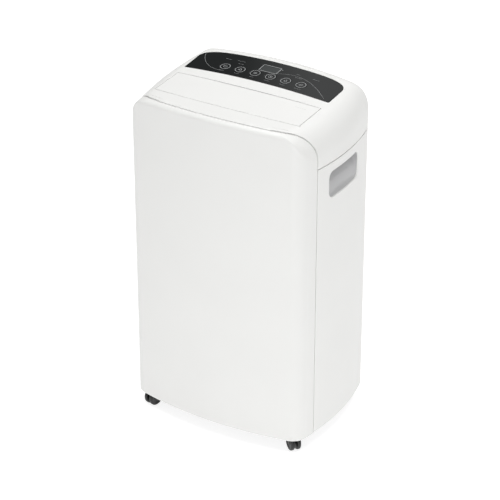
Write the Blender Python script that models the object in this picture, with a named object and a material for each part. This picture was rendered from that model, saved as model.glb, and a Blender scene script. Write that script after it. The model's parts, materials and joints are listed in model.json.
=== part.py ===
"""Compressor dehumidifier on four swivelling casters, built as an assembly of separate solids.

The cabinet stands on the floor at z = 0 with its front facing -Y and +X to the right.
Sizes below are in millimetres; Shape.node turns them into metres.
"""
import math

import bmesh
import bpy
import numpy as np
from mathutils import Matrix, Vector

MM = 0.001

# Cabinet: the plan outline is four shallow arcs with rounded corners.
WIDTH = 350.0
DEPTH = 257.2
FRONT_BOW = 25.2
SIDE_BOW = 20.4
BACK_BOW = 14.9
FRONT_CORNER = 30.0
REAR_CORNER = 13.0
SKIRT_Z = 26.0
CASING_Z = 28.0
WALL = 2.4
FIT_GAP = 0.8
SEAM = 0.6

# Top: a slightly dished deck that rises towards the back, with deep shoulders.
DECK_Z = 591.3
DECK_START_Y = -118.0
DECK_SLOPE = 0.02
DECK_CURVE = 0.00024
CROWN = 4.0
CROWN_HALF = 136.0
SHOULDER_SIDE = (38.0, 50.0)
SHOULDER_BACK = (34.0, 45.0)
SHOULDER_FRONT = (10.0, 8.0)
FLAT_CORNER = 20.0

# Seams between the shells.
COVER_SEAM_Z = 519.4
PANEL_SEAM_Y = -69.0
PANEL_CURVE_Z = 531.0
PANEL_CURVE = (39.0, 57.5)
PANEL_LIP = 11.3

# Carrying recesses in both sides.
RECESS_Y = (-38.0, 60.0)
RECESS_Z = (456.0, 503.0)
RECESS_CORNER = 12.0
SCOOP_FACE = 172.0
SCOOP = (4.0, 5.0, 16.0)
CUP_WALL = 2.0

# Control lens and its six keys.
LENS_HALF = 137.0
LENS_FRONT_Y = 18.0
LENS_FRONT_BOW = 3.2
LENS_BACK_Y = 90.3
LENS_SIDE_Y = 70.0
LENS_CORNERS = (2.5, 8.0)
LENS_THICK = 3.0
LENS_POCKET = 3.4
LENS_TRAY = 2.2
KEY_X = [-73.6 + 28.84 * index for index in range(6)]
KEY_Y = 44.5
KEY_RADIUS = 9.0
KEY_TRAVEL = 0.8
STEM_RADIUS = 3.0
WINDOW_X = (-16.0, 16.0)
WINDOW_Y = (57.0, 75.0)
BOARD_TOP = 588.0

# Air outlet: a lid hinged at its rear edge over a slatted grille.
FLAP_HALF = 135.2
FLAP_FRONT_Y = -80.0
FLAP_FRONT_BOW = 9.0
FLAP_THICK = 2.4
HINGE_Y = -12.5
HINGE_Z = 589.4
HINGE_SWEEP = 9.0
THROAT_Z = 566.0
GRILLE_Z = (567.0, 576.0)

# Base and casters.
PAN_Z = (38.0, 42.0)
PAN_RIM_Z = 50.0
CASTER_X = 134.0
CASTER_FRONT_Y = -84.0
CASTER_REAR_Y = 86.0
CASTER_TRAIL = 12.0
WHEEL_RADIUS = 15.0
STEM = 4.0
# Direction in which each caster trails, in degrees from +X.
CASTERS = {
    "front_left": (-CASTER_X, CASTER_FRONT_Y, -100.0),
    "front_right": (CASTER_X, CASTER_FRONT_Y, -38.0),
    "rear_left": (-CASTER_X, CASTER_REAR_Y, 90.0),
    "rear_right": (CASTER_X, CASTER_REAR_Y, 90.0),
}

# Inner frame and tank bay.
FRAME_WALL_Y = (8.0, 10.4)
SHELF_Z = (296.0, 299.0)
TANK_HALF = 139.0
TANK_FRONT_Y = 14.0
TANK_Z = (52.0, 291.0)
TANK_RIM_Z = 284.0
TANK_WALL = 2.2
DRIP = (-40.0, 70.0)
DRAIN_X = -110.0
DRAIN_Z = 306.5
FLOAT_PIVOT = (100.0, 40.0, 272.0)
LEVEL_X = (92.0, 104.0)
LEVEL_Z = (90.0, 240.0)

# Intake and heat exchangers.
INTAKE_HALF = 124.0
INTAKE_Z = (318.0, 500.0)
GLAND = (110.0, 306.5)
COIL_HALF = 104.0
COIL_Z = (301.6, 488.0)
EVAPORATOR_Y = (84.0, 104.0)
CONDENSER_Y = (56.0, 78.0)
COIL_ROWS = 6
FINS = 9

# Blower.
BLOWER_X = -12.0
BLOWER_Z = 402.0
BLOWER_Y = (2.0, 46.0)
WHEEL_OUTER = 66.0
WHEEL_INNER = 54.0
BLADES = 13
SCROLL_START = 74.0
SCROLL_GROWTH = 28.0
MOTOR_RADIUS = 36.0
SHAFT_RADIUS = 4.0

# Refrigeration.
COMPRESSOR = (-80.0, -46.0)
COMPRESSOR_RADIUS = 48.0
COMPRESSOR_Z = (63.0, 214.0)
ACCUMULATOR = (-2.0, -62.0)
PIPE = 3.2

FINISHES = {
    "white_shell": ((0.80, 0.80, 0.79), 0.45, 0.0),
    "white_inner": ((0.70, 0.70, 0.69), 0.55, 0.0),
    "cup_grey": ((0.42, 0.42, 0.43), 0.55, 0.0),
    "lens_black": ((0.03, 0.032, 0.034), 0.18, 0.0),
    "window_smoke": ((0.06, 0.065, 0.07), 0.12, 0.0),
    "tank_smoke": ((0.30, 0.33, 0.36), 0.25, 0.0),
    "rubber": ((0.02, 0.02, 0.02), 0.75, 0.0),
    "caster_black": ((0.015, 0.015, 0.016), 0.45, 0.0),
    "board_green": ((0.02, 0.16, 0.06), 0.5, 0.0),
    "steel": ((0.45, 0.46, 0.48), 0.35, 1.0),
    "black_steel": ((0.02, 0.02, 0.022), 0.4, 0.0),
    "copper": ((0.80, 0.38, 0.22), 0.3, 1.0),
    "aluminium": ((0.75, 0.76, 0.78), 0.35, 1.0),
    "filter_grey": ((0.10, 0.11, 0.12), 0.8, 0.0),
    "abs_black": ((0.03, 0.03, 0.032), 0.6, 0.0),
}


def finish(name):
    """Return the named material, making it the first time it is asked for."""
    found = bpy.data.materials.get(name)
    if found:
        return found
    colour, roughness, metallic = FINISHES[name]
    made = bpy.data.materials.new(name)
    made.use_nodes = True
    shader = made.node_tree.nodes["Principled BSDF"]
    shader.inputs["Base Color"].default_value = (*colour, 1.0)
    shader.inputs["Roughness"].default_value = roughness
    shader.inputs["Metallic"].default_value = metallic
    made.diffuse_color = (*colour, 1.0)
    return made


class Shape:
    """A closed mesh under construction, in millimetres, with the Boolean operators + - and &."""

    def __init__(self, verts, faces):
        self.mesh = bpy.data.meshes.new("shape")
        self.mesh.from_pydata([tuple(map(float, vert)) for vert in verts], [], faces)
        work = bmesh.new()
        work.from_mesh(self.mesh)
        bmesh.ops.remove_doubles(work, verts=work.verts, dist=1e-4)
        bmesh.ops.recalc_face_normals(work, faces=work.faces)
        work.to_mesh(self.mesh)
        work.free()

    @classmethod
    def of_mesh(cls, mesh):
        """Wrap a finished mesh without touching it."""
        shape = cls.__new__(cls)
        shape.mesh = mesh
        return shape

    def combine(self, other, operation):
        """Return the EXACT Boolean of this shape with another."""
        scene = bpy.context.scene.collection.objects
        target = bpy.data.objects.new("target", self.mesh)
        cutter = bpy.data.objects.new("cutter", other.mesh)
        scene.link(target)
        scene.link(cutter)
        modifier = target.modifiers.new("boolean", "BOOLEAN")
        modifier.operation = operation
        modifier.solver = "EXACT"
        modifier.object = cutter
        graph = bpy.context.evaluated_depsgraph_get()
        mesh = bpy.data.meshes.new_from_object(target.evaluated_get(graph))
        bpy.data.objects.remove(target)
        bpy.data.objects.remove(cutter)
        return Shape.of_mesh(mesh)

    def __add__(self, other):
        return self.combine(other, "UNION")

    def __sub__(self, other):
        return self.combine(other, "DIFFERENCE")

    def __and__(self, other):
        return self.combine(other, "INTERSECT")

    def moved(self, matrix):
        """Return a copy moved by a 4 x 4 matrix."""
        mesh = self.mesh.copy()
        mesh.transform(matrix)
        return Shape.of_mesh(mesh)

    def joined(self, others):
        """Return this shape and others that don't touch it as one cutter."""
        work = bmesh.new()
        for shape in (self, *others):
            work.from_mesh(shape.mesh)
        mesh = bpy.data.meshes.new("shape")
        work.to_mesh(mesh)
        work.free()
        return Shape.of_mesh(mesh)

    def node(self, name, finish_name, pivot=(0.0, 0.0, 0.0), smooth=40.0):
        """Make the named object in metres, with its origin at the pivot."""
        mesh = self.mesh.copy()
        mesh.name = name
        mesh.transform(Matrix.Scale(MM, 4) @ Matrix.Translation(-Vector(pivot)))
        work = bmesh.new()
        work.from_mesh(mesh)
        bmesh.ops.dissolve_degenerate(work, edges=work.edges, dist=1e-7)
        bmesh.ops.dissolve_limit(work, angle_limit=1e-3, verts=work.verts, edges=work.edges)
        bmesh.ops.triangulate(work, faces=work.faces)
        work.to_mesh(mesh)
        work.free()
        mesh.materials.clear()
        mesh.materials.append(finish(finish_name))
        made = bpy.data.objects.new(name, mesh)
        made.location = Vector(pivot) * MM
        bpy.context.scene.collection.objects.link(made)
        mesh.shade_smooth()
        mesh.set_sharp_from_angle(angle=math.radians(smooth))
        return made


def box(low, high):
    """Return a box from its two opposite corners."""
    corners = [(x, y, z) for z in (low[2], high[2]) for y in (low[1], high[1]) for x in (low[0], high[0])]
    faces = [(0, 2, 3, 1), (4, 5, 7, 6), (0, 1, 5, 4), (2, 6, 7, 3), (0, 4, 6, 2), (1, 3, 7, 5)]
    return Shape(corners, faces)


def loft(rings, closed=True):
    """Return the solid through rings of equal length, with a flat cap at each end."""
    count = len(rings[0])
    verts = np.concatenate([np.asarray(ring, float) for ring in rings])
    faces = []
    for row in range(len(rings) - 1):
        for index in range(count):
            after = (index + 1) % count
            low = row * count
            high = low + count
            faces.append((low + index, low + after, high + after, high + index))
    if closed:
        faces.append(tuple(range(count))[::-1])
        faces.append(tuple(range(len(verts) - count, len(verts))))
    return Shape(verts, faces)


def prism(points, axis, start, stop):
    """Return a flat outline extruded along X, Y or Z; points hold the two other coordinates."""
    places = [index for index in range(3) if index != axis]
    rings = []
    for level in (start, stop):
        ring = np.zeros((len(points), 3))
        ring[:, places] = points
        ring[:, axis] = level
        rings.append(ring)
    return loft(rings)


def cylinder(start, stop, radius, sides=16, end_radius=None):
    """Return a cylinder or a cone between two points."""
    start, stop = Vector(start), Vector(stop)
    turn = (stop - start).to_track_quat("Z", "Y").to_matrix()
    rings = []
    for centre, size in ((start, radius), (stop, radius if end_radius is None else end_radius)):
        angles = [2 * math.pi * index / sides for index in range(sides)]
        ring = [centre + turn @ Vector((size * math.cos(a), size * math.sin(a), 0)) for a in angles]
        rings.append(ring)
    return loft(rings)


def turned(profile, centre, axis="Z", sides=20):
    """Return a solid of revolution from (radius, height) points that start and end on the axis."""
    rings = []
    angles = np.linspace(0, 2 * math.pi, sides, endpoint=False)
    for radius, height in profile:
        size = max(radius, 1e-3)
        ring = np.column_stack([size * np.cos(angles), size * np.sin(angles), np.full(sides, height)])
        rings.append(ring)
    shape = loft(rings)
    matrix = Matrix.Translation(centre)
    if axis == "Y":
        matrix = matrix @ Matrix.Rotation(-math.pi / 2, 4, "X")
    if axis == "X":
        matrix = matrix @ Matrix.Rotation(math.pi / 2, 4, "Y")
    return shape.moved(matrix)


def pipe(points, radius, sides=8, bend=14.0, steps=3):
    """Return a round pipe along a route whose corners are rounded with short arcs."""
    route = [Vector(point) for point in points]
    path = [route[0]]
    for before, corner, after in zip(route, route[1:], route[2:]):
        reach = min(bend, (corner - before).length / 2, (after - corner).length / 2)
        enter = corner + (before - corner).normalized() * reach
        leave = corner + (after - corner).normalized() * reach
        for step in range(steps + 1):
            t = step / steps
            path.append(enter * (1 - t) ** 2 + corner * 2 * t * (1 - t) + leave * t ** 2)
    path.append(route[-1])
    rings = []
    normal = (path[1] - path[0]).orthogonal().normalized()
    for index, point in enumerate(path):
        ahead = path[min(index + 1, len(path) - 1)] - path[max(index - 1, 0)]
        ahead.normalize()
        normal = (normal - ahead * normal.dot(ahead)).normalized()
        side = ahead.cross(normal)
        angles = [2 * math.pi * turn / sides for turn in range(sides)]
        rings.append([point + radius * (math.cos(a) * normal + math.sin(a) * side) for a in angles])
    return loft(rings)


def rounded_rectangle(low, high, radius, steps=5):
    """Return the points of a rectangle with round corners, anticlockwise."""
    points = []
    corners = ((high[0], high[1], 0), (low[0], high[1], 90), (low[0], low[1], 180), (high[0], low[1], 270))
    for x, y, first in corners:
        centre_x = x - math.copysign(radius, x - (low[0] + high[0]) / 2)
        centre_y = y - math.copysign(radius, y - (low[1] + high[1]) / 2)
        for step in range(steps + 1):
            angle = math.radians(first + 90 * step / steps)
            points.append((centre_x + radius * math.cos(angle), centre_y + radius * math.sin(angle)))
    return points


def arc_radius(chord, bow):
    """Return the radius of an arc from its chord and its height."""
    return ((chord / 2) ** 2 + bow ** 2) / (2 * bow)


FRONT_RADIUS = arc_radius(WIDTH, FRONT_BOW)
BACK_RADIUS = arc_radius(WIDTH, BACK_BOW)
SIDE_RADIUS = arc_radius(DEPTH, SIDE_BOW)
FRONT_CENTRE = np.array([0.0, -DEPTH / 2 + FRONT_RADIUS])
BACK_CENTRE = np.array([0.0, DEPTH / 2 - BACK_RADIUS])
SIDE_CENTRE = np.array([WIDTH / 2 - SIDE_RADIUS, 0.0])


def meeting_point(first, first_radius, second, second_radius, up):
    """Return where two circles meet, on the upper (+Y) or lower side, at positive X."""
    across = second - first
    span = np.hypot(*across)
    along = (span ** 2 + first_radius ** 2 - second_radius ** 2) / (2 * span)
    height = math.sqrt(first_radius ** 2 - along ** 2)
    unit = across / span
    foot = first + unit * along
    side = np.array([-unit[1], unit[0]]) * height
    choices = [foot + side, foot - side]
    choices.sort(key=lambda point: point[1])
    return choices[-1] if up else choices[0]


def arc(centre, start, stop, segments):
    """Return the points of an arc about a centre, from start to stop, the last one left out."""
    begin = math.atan2(*(start - centre)[::-1])
    end = math.atan2(*(stop - centre)[::-1])
    sweep = (end - begin + math.pi) % (2 * math.pi) - math.pi
    radius = np.hypot(*(start - centre))
    angles = begin + sweep * np.arange(segments) / segments
    return centre + radius * np.column_stack([np.cos(angles), np.sin(angles)])


def outline(front, side, back, front_corner, rear_corner):
    """Return the plan outline inset by the given amounts, anticlockwise from the front centre."""
    front_r, side_r, back_r = FRONT_RADIUS - front, SIDE_RADIUS - side, BACK_RADIUS - back
    low = meeting_point(FRONT_CENTRE, front_r - front_corner, SIDE_CENTRE, side_r - front_corner, False)
    high = meeting_point(BACK_CENTRE, back_r - rear_corner, SIDE_CENTRE, side_r - rear_corner, True)

    def outward(centre, point, radius):
        away = point - centre
        return centre + away / np.hypot(*away) * radius

    front_mid = FRONT_CENTRE - (0, front_r)
    back_mid = BACK_CENTRE + (0, back_r)
    stops = [
        (FRONT_CENTRE, front_mid, outward(FRONT_CENTRE, low, front_r), 5),
        (low, outward(FRONT_CENTRE, low, front_r), outward(SIDE_CENTRE, low, side_r), 4),
        (SIDE_CENTRE, outward(SIDE_CENTRE, low, side_r), outward(SIDE_CENTRE, high, side_r), 4),
        (high, outward(SIDE_CENTRE, high, side_r), outward(BACK_CENTRE, high, back_r), 3),
        (BACK_CENTRE, outward(BACK_CENTRE, high, back_r), back_mid, 4),
    ]
    half = np.concatenate([arc(*stop) for stop in stops] + [[back_mid]])
    mirror = half[-2:0:-1] * (-1, 1)
    return np.concatenate([half, mirror])


def deck_height(x, y):
    """Return the height of the top surface, crowned across and rising towards the back."""
    run = y - DECK_START_Y
    return DECK_Z + DECK_SLOPE * run + DECK_CURVE * run ** 2 - CROWN * (x / CROWN_HALF) ** 2


def skin(inset, foot, side_grow=0.0):
    """Return the cabinet's closed outer skin, inset by a wall thickness, down to the foot height.

    The wall rises along the plan outline. An elliptical shoulder joins it to a smaller outline on
    the deck; its drop is blended from the front, side and back values by the wall's direction.
    """
    wall = outline(inset, inset - side_grow, inset, FRONT_CORNER - inset, REAR_CORNER - inset)
    flat = outline(SHOULDER_FRONT[0] + inset * 0.4, SHOULDER_SIDE[0] + inset * 0.4,
                   SHOULDER_BACK[0] + inset * 0.4, FLAT_CORNER, FLAT_CORNER)
    along = np.roll(wall, -1, 0) - np.roll(wall, 1, 0)
    facing = -along[:, 0] / np.hypot(*along.T)
    to_front = np.clip(-facing, 0, 1) ** 2
    to_back = np.clip(facing, 0, 1) ** 2
    to_side = 1 - to_front - to_back
    drop = to_front * SHOULDER_FRONT[1] + to_side * SHOULDER_SIDE[1] + to_back * SHOULDER_BACK[1]
    rings = [np.column_stack([wall, np.full(len(wall), foot)])]
    for angle in np.radians(np.linspace(0, 90, 5)):
        ring = flat + (wall - flat) * math.cos(angle)
        height = deck_height(*ring.T) - inset - drop * (1 - math.sin(angle))
        rings.append(np.column_stack([ring, height]))
    centre = flat.mean(axis=0)
    for scale in (0.5,):
        ring = centre + (flat - centre) * scale
        rings.append(np.column_stack([ring, deck_height(*ring.T) - inset]))
    count = len(wall)
    verts = np.concatenate(rings + [[[*centre, deck_height(*centre) - inset]]])
    faces = [tuple(range(count))]
    for row in range(len(rings) - 1):
        for index in range(count):
            low, after = row * count, (index + 1) % count
            first, second = low + index, low + after
            if row == 0:
                faces.append((first, second, second + count, first + count))
                continue
            faces.append((first, second, second + count))
            faces.append((first, second + count, first + count))
    last = (len(rings) - 1) * count
    faces += [(last + index, last + (index + 1) % count, len(verts) - 1) for index in range(count)]
    return Shape(verts, faces)


def deck_slab(edges, columns, rows, top_drop, bottom_drop):
    """Return a slab that follows the deck, between a front and a back edge given for each x."""
    levels = []
    for drop, (front, back) in ((top_drop, edges[0]), (bottom_drop, edges[1])):
        along = np.linspace(0, 1, rows)
        x = np.repeat(columns, rows)
        y = np.concatenate([front(c) + (back(c) - front(c)) * along for c in columns])
        levels.append(np.column_stack([x, y, deck_height(x, y) - drop]))
    count = len(columns) * rows
    faces = []
    for column in range(len(columns) - 1):
        for row in range(rows - 1):
            corner = column * rows + row
            quad = (corner, corner + rows, corner + rows + 1, corner + 1)
            faces += [(quad[0], quad[1], quad[2]), (quad[0], quad[2], quad[3])]
            under = [index + count for index in quad]
            faces += [(under[0], under[2], under[1]), (under[0], under[3], under[2])]
    rim = [column * rows for column in range(len(columns))]
    rim += [(len(columns) - 1) * rows + row for row in range(1, rows)]
    rim += [column * rows + rows - 1 for column in range(len(columns) - 2, -1, -1)]
    rim += [row for row in range(rows - 2, 0, -1)]
    for first, second in zip(rim, rim[1:] + rim[:1]):
        faces.append((first, first + count, second + count, second))
    return Shape(np.concatenate(levels), faces)


def panel_zone(grow):
    """Return the space of the front panel: curved in side view, with a lip along the top front."""
    reach, rise = PANEL_CURVE[0] + grow, PANEL_CURVE[1] + grow
    middle = PANEL_SEAM_Y - PANEL_CURVE[0]
    points = [(-250.0, -20.0), (PANEL_SEAM_Y + grow, -20.0)]
    for angle in np.radians(np.linspace(0, 90, 7)):
        points.append((middle + reach * math.cos(angle), PANEL_CURVE_Z + rise * math.sin(angle)))
    points.append((-250.0, PANEL_CURVE_Z + rise))
    side_view = prism(points, 0, -250.0, 250.0)
    radius = FRONT_RADIUS - PANEL_LIP - grow
    columns = np.linspace(-150, 150, 11)
    lip = [(x, FRONT_CENTRE[1] - math.sqrt(radius ** 2 - x ** 2)) for x in columns]
    lip += [(150.0, -200.0), (-150.0, -200.0)]
    return side_view + prism(lip, 2, 565.0, 640.0)


def corner_cut(x, half, radius):
    """Return how far a round corner has turned in at x, near the ends of a strip."""
    past = max(abs(x) - (half - radius), 0.0)
    return radius - math.sqrt(max(radius ** 2 - past ** 2, 0.0))


def lens_edges(grow):
    """Return the lens outline as front and back edge functions of x, grown all round."""
    half = LENS_HALF + grow
    front_corner, back_corner = LENS_CORNERS[0] + grow, LENS_CORNERS[1] + grow

    def front(x):
        bow = LENS_FRONT_BOW * (1 - (x / half) ** 2)
        return LENS_FRONT_Y - grow + bow + corner_cut(x, half, front_corner)

    def back(x):
        sweep = (LENS_BACK_Y - LENS_SIDE_Y) * (0.35 * (x / half) ** 2 + 0.65 * abs(x / half) ** 9)
        return LENS_BACK_Y + grow - sweep - corner_cut(x, half, back_corner)

    return front, back


def lens_slab(grow, top_drop, bottom_drop):
    """Return a slab with the lens outline at the given depths below the deck."""
    half = LENS_HALF + grow
    ends = half - (LENS_CORNERS[1] + grow) * (1 - np.sin(np.radians([0, 35, 65, 90])))
    middle = np.linspace(-0.88, 0.88, 7) * half
    columns = np.concatenate([-ends[::-1], middle, ends])
    edges = lens_edges(grow)
    return deck_slab((edges, edges), columns, 3, top_drop, bottom_drop)


def flap_slab(grow, top_drop, bottom_drop):
    """Return the outlet lid's plate; its rear edge is turned about the hinge so that it can swing."""
    half = FLAP_HALF + grow
    sweep = HINGE_SWEEP + grow
    columns = np.concatenate([[-half], np.linspace(-half + 3, half - 3, 7), [half]])

    def edges(drop):
        def front(x):
            return FLAP_FRONT_Y - grow + FLAP_FRONT_BOW * (x / half) ** 2

        def back(x):
            rise = deck_height(x, HINGE_Y + 6) - drop - HINGE_Z
            return HINGE_Y + math.sqrt(max(sweep ** 2 - rise ** 2, 1.0))

        return front, back

    return deck_slab((edges(top_drop), edges(bottom_drop)), columns, 3, top_drop, bottom_drop)


def shell(side_grow=0.0):
    """Return the cabinet's wall as one thin tube, closed on top and open below."""
    return skin(0.0, 10.0, side_grow) - skin(WALL, 0.0, side_grow)


def make_panel():
    """The front panel: bowed front, rounded corners and a lip over the top edge."""
    panel = (shell(0.6) & panel_zone(-SEAM)) & box((-250, -250, SKIRT_Z), (250, 250, 700))
    panel.node("front_panel", "white_shell")


def side_rectangle(grow):
    """Return the carrying recess outline in Y and Z, grown all round."""
    low = (RECESS_Y[0] - grow, RECESS_Z[0] - grow)
    high = (RECESS_Y[1] + grow, RECESS_Z[1] + grow)
    return rounded_rectangle(low, high, RECESS_CORNER + grow)


def make_casing():
    """The rear casing: both sides and the back, with all its openings."""
    casing = shell() & box((-250, -250, CASING_Z), (250, 250, COVER_SEAM_Z - SEAM))
    casing = casing - panel_zone(SEAM)
    casing = casing - prism(side_rectangle(CUP_WALL + 0.4), 0, -250, 250)
    intake = rounded_rectangle((-INTAKE_HALF, INTAKE_Z[0]), (INTAKE_HALF, INTAKE_Z[1]), 10)
    casing = casing - prism(intake, 1, 60, 200)
    gap = 0.6
    low, high = (-TANK_HALF - gap, TANK_Z[0] - gap), (TANK_HALF + gap, TANK_Z[1] + gap)
    casing = casing - prism(rounded_rectangle(low, high, 8), 1, 60, 200)
    casing = casing - cylinder((DRAIN_X, 60, DRAIN_Z), (DRAIN_X, 200, DRAIN_Z), 8.2)
    casing = casing - cylinder((GLAND[0], 60, GLAND[1]), (GLAND[0], 200, GLAND[1]), 7.4)
    casing.node("rear_casing", "white_shell")


def make_cover():
    """The top cover: deck and shoulders, with the outlet throat and the lens pocket."""
    cover = shell() & box((-250, -250, COVER_SEAM_Z + SEAM), (250, 250, 700))
    cover = cover - panel_zone(SEAM)
    throat_out = flap_slab(3.0, 1.0, 27.0)
    cover = cover + (throat_out & box((-250, -250, THROAT_Z), (250, 250, 700)))
    cover = cover + lens_slab(3.0, 1.2, LENS_POCKET + LENS_TRAY)
    sweep = HINGE_SWEEP + 0.6
    half = FLAP_HALF + 0.8
    cover = cover - flap_slab(0.8, -6.0, 60.0)
    cover = cover - cylinder((-half, HINGE_Y, HINGE_Z), (half, HINGE_Y, HINGE_Z), sweep, 32)
    cover = cover - cylinder((-half - 2.6, HINGE_Y, HINGE_Z), (half + 2.6, HINGE_Y, HINGE_Z), 2.2, 16)
    cover = cover - lens_slab(0.4, -6.0, LENS_POCKET)
    for x in KEY_X:
        cover = cover - cylinder((x, KEY_Y, 560), (x, KEY_Y, 640), STEM_RADIUS + 0.6, 8)
    cover = cover - box((WINDOW_X[0] + 2, WINDOW_Y[0] + 2, 560), (WINDOW_X[1] - 2, WINDOW_Y[1] - 2, 640))
    cover.node("top_cover", "white_shell")


def make_flap():
    """The outlet lid with two hinge pins and two stiffening ribs."""
    flap = flap_slab(0.0, 0.0, FLAP_THICK)
    for side in (-1, 1):
        start, stop = side * (FLAP_HALF - 8), side * (FLAP_HALF + 2.6)
        flap = flap + cylinder((start, HINGE_Y, HINGE_Z), (stop, HINGE_Y, HINGE_Z), 1.6, 12)
        rib = box((side * 60 - 1.0, FLAP_FRONT_Y + 14, HINGE_Z - 2), (side * 60 + 1.0, HINGE_Y, HINGE_Z + 3))
        flap = flap + rib
    flap.node("outlet_flap", "white_shell", (0, HINGE_Y, HINGE_Z))


def make_grille():
    """The slatted outlet grille in the throat."""
    low, high = (-132.0, -70.0, GRILLE_Z[0]), (132.0, -12.0, GRILLE_Z[1])
    grille = box(low, high) - box((low[0] + 3, low[1] + 3, 500), (high[0] - 3, high[1] - 3, 600))
    for index in range(9):
        x = low[0] + (high[0] - low[0]) * (index + 1) / 10
        grille = grille + box((x - 0.9, low[1] + 1, low[2] + 1), (x + 0.9, high[1] - 1, high[2] - 1))
    middle = (low[1] + high[1]) / 2
    grille = grille + box((low[0] + 1, middle - 1, low[2] + 2), (high[0] - 1, middle + 1, high[2] - 2))
    grille.node("outlet_grille", "abs_black")


def ring(low, high, level):
    """Return a level rectangle as four corners."""
    return [(low[0], low[1], level), (high[0], low[1], level), (high[0], high[1], level), (low[0], high[1], level)]


def make_duct():
    """The hollow duct that spreads the blower's air to the full width of the outlet."""
    levels = [
        ((22.0, BLOWER_Y[0]), (94.0, BLOWER_Y[1]), 502.6),
        ((22.0, BLOWER_Y[0]), (94.0, BLOWER_Y[1]), 506.0),
        ((-130.0, -72.0), (130.0, -8.0), 553.0),
        ((-130.0, -72.0), (130.0, -8.0), 565.4),
    ]
    outer = loft([ring(*level) for level in levels])
    inside = []
    for low, high, level in levels:
        inside.append(ring((low[0] + 2, low[1] + 2), (high[0] - 2, high[1] - 2), level))
    inside[0] = [(x, y, z - 1) for x, y, z in inside[0]]
    inside[-1] = [(x, y, z + 1) for x, y, z in inside[-1]]
    (outer - loft(inside)).node("outlet_duct", "white_inner")


def make_controls():
    """The dark lens, the display window, six spring keys and the board below them."""
    lens = lens_slab(0.0, 0.0, LENS_THICK)
    for x in KEY_X:
        lens = lens - cylinder((x, KEY_Y, 560), (x, KEY_Y, 640), KEY_RADIUS + 0.4)
    window = rounded_rectangle((WINDOW_X[0], WINDOW_Y[0]), (WINDOW_X[1], WINDOW_Y[1]), 1.5, 2)
    lens = lens - prism(window, 2, 560, 640)
    lens.node("control_lens", "lens_black")
    low, high = (WINDOW_X[0] + 0.4, WINDOW_Y[0] + 0.4), (WINDOW_X[1] - 0.4, WINDOW_Y[1] - 0.4)
    pane = prism(rounded_rectangle(low, high, 1.2, 2), 2, 560, 640) & lens_slab(-1.0, 0.1, LENS_THICK)
    pane.node("display_window", "window_smoke")
    for index, x in enumerate(KEY_X):
        make_key(index, x)
    board = box((-92, 36, BOARD_TOP - 1.6), (92, 76, BOARD_TOP))
    for x in KEY_X:
        board = board + box((x - 3, KEY_Y - 3, BOARD_TOP - 0.5), (x + 3, KEY_Y + 3, BOARD_TOP + 3))
    board = board + box((-14, 58, BOARD_TOP - 0.5), (14, 74, BOARD_TOP + 6))
    board.node("display_board", "board_green")


def make_key(index, x):
    """One round key: a flush cap and the stem that presses its switch."""
    top = float(deck_height(x, KEY_Y))
    cap = cylinder((x, KEY_Y, 560), (x, KEY_Y, 640), KEY_RADIUS) & lens_slab(-1.0, 0.0, 2.2)
    stem = cylinder((x, KEY_Y, BOARD_TOP + 3 + KEY_TRAVEL + 0.3), (x, KEY_Y, top - 1), STEM_RADIUS, 8)
    (cap + stem).node(f"key_{index + 1}", "lens_black", (x, KEY_Y, top))


def scoop(grow):
    """Return the recess's inside as seen along Y: shallow below, deep under the top edge."""
    face = WIDTH / 2 + 10
    low, high = RECESS_Z[0] - grow, RECESS_Z[1] + grow
    points = [(face, low)]
    for share in np.linspace(0, 1, 8):
        depth = SCOOP[0] + SCOOP[1] * share + SCOOP[2] * share ** 3 + grow
        points.append((SCOOP_FACE - depth, low + (high - low) * share))
    points.append((face, high))
    return prism(points, 1, -100, 100)


def make_cups():
    """The two carrying cups, set into the sides flush with the casing."""
    outer = (prism(side_rectangle(CUP_WALL), 0, 100, 250) & scoop(CUP_WALL)) & skin(0.0, 10.0)
    cup = outer - (prism(side_rectangle(0.0), 0, 100, 250) & scoop(0.0))
    cup.node("handle_cup_right", "cup_grey")
    mirror = cup.moved(Matrix.Diagonal((-1, 1, 1, 1)))
    mirror.mesh.flip_normals()
    mirror.node("handle_cup_left", "cup_grey")


def make_intake():
    """The intake grille that carries the air filter and pulls out of the back."""
    gap = 0.5
    low, high = (-INTAKE_HALF + gap, INTAKE_Z[0] + gap), (INTAKE_HALF - gap, INTAKE_Z[1] - gap)
    face = shell() & prism(rounded_rectangle(low, high, 9.5), 1, 60, 200)
    rows = 6
    pitch = (high[1] - low[1] - 16) / rows
    slots = []
    for row in range(rows):
        z = low[1] + 8 + pitch * (row + 0.5)
        for column in range(3):
            x = -INTAKE_HALF + 12 + column * 76
            slots.append(box((x, 60, z - pitch * 0.28), (x + 72, 200, z + pitch * 0.28)))
    face = face - slots[0].joined(slots[1:])
    rim = prism(rounded_rectangle((-121, 321), (121, 497), 8), 1, 112.0, 122.0)
    hole = prism(rounded_rectangle((-117, 325), (117, 493), 6), 1, 100.0, 140.0)
    (face + (rim - hole)).node("filter_grille", "white_shell")
    pad = box((-115, 113.2, 327), (115, 114.4, 491))
    for index in range(3):
        x = -112 + 112 * index
        pad = pad + box((x - 2, 112.6, 328), (x + 2, 115.2, 490))
    for index in range(3):
        z = 329.5 + 79.5 * index
        pad = pad + box((-114, 112.8, z - 2), (114, 115.0, z + 2))
    pad.node("air_filter", "filter_grey")


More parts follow.
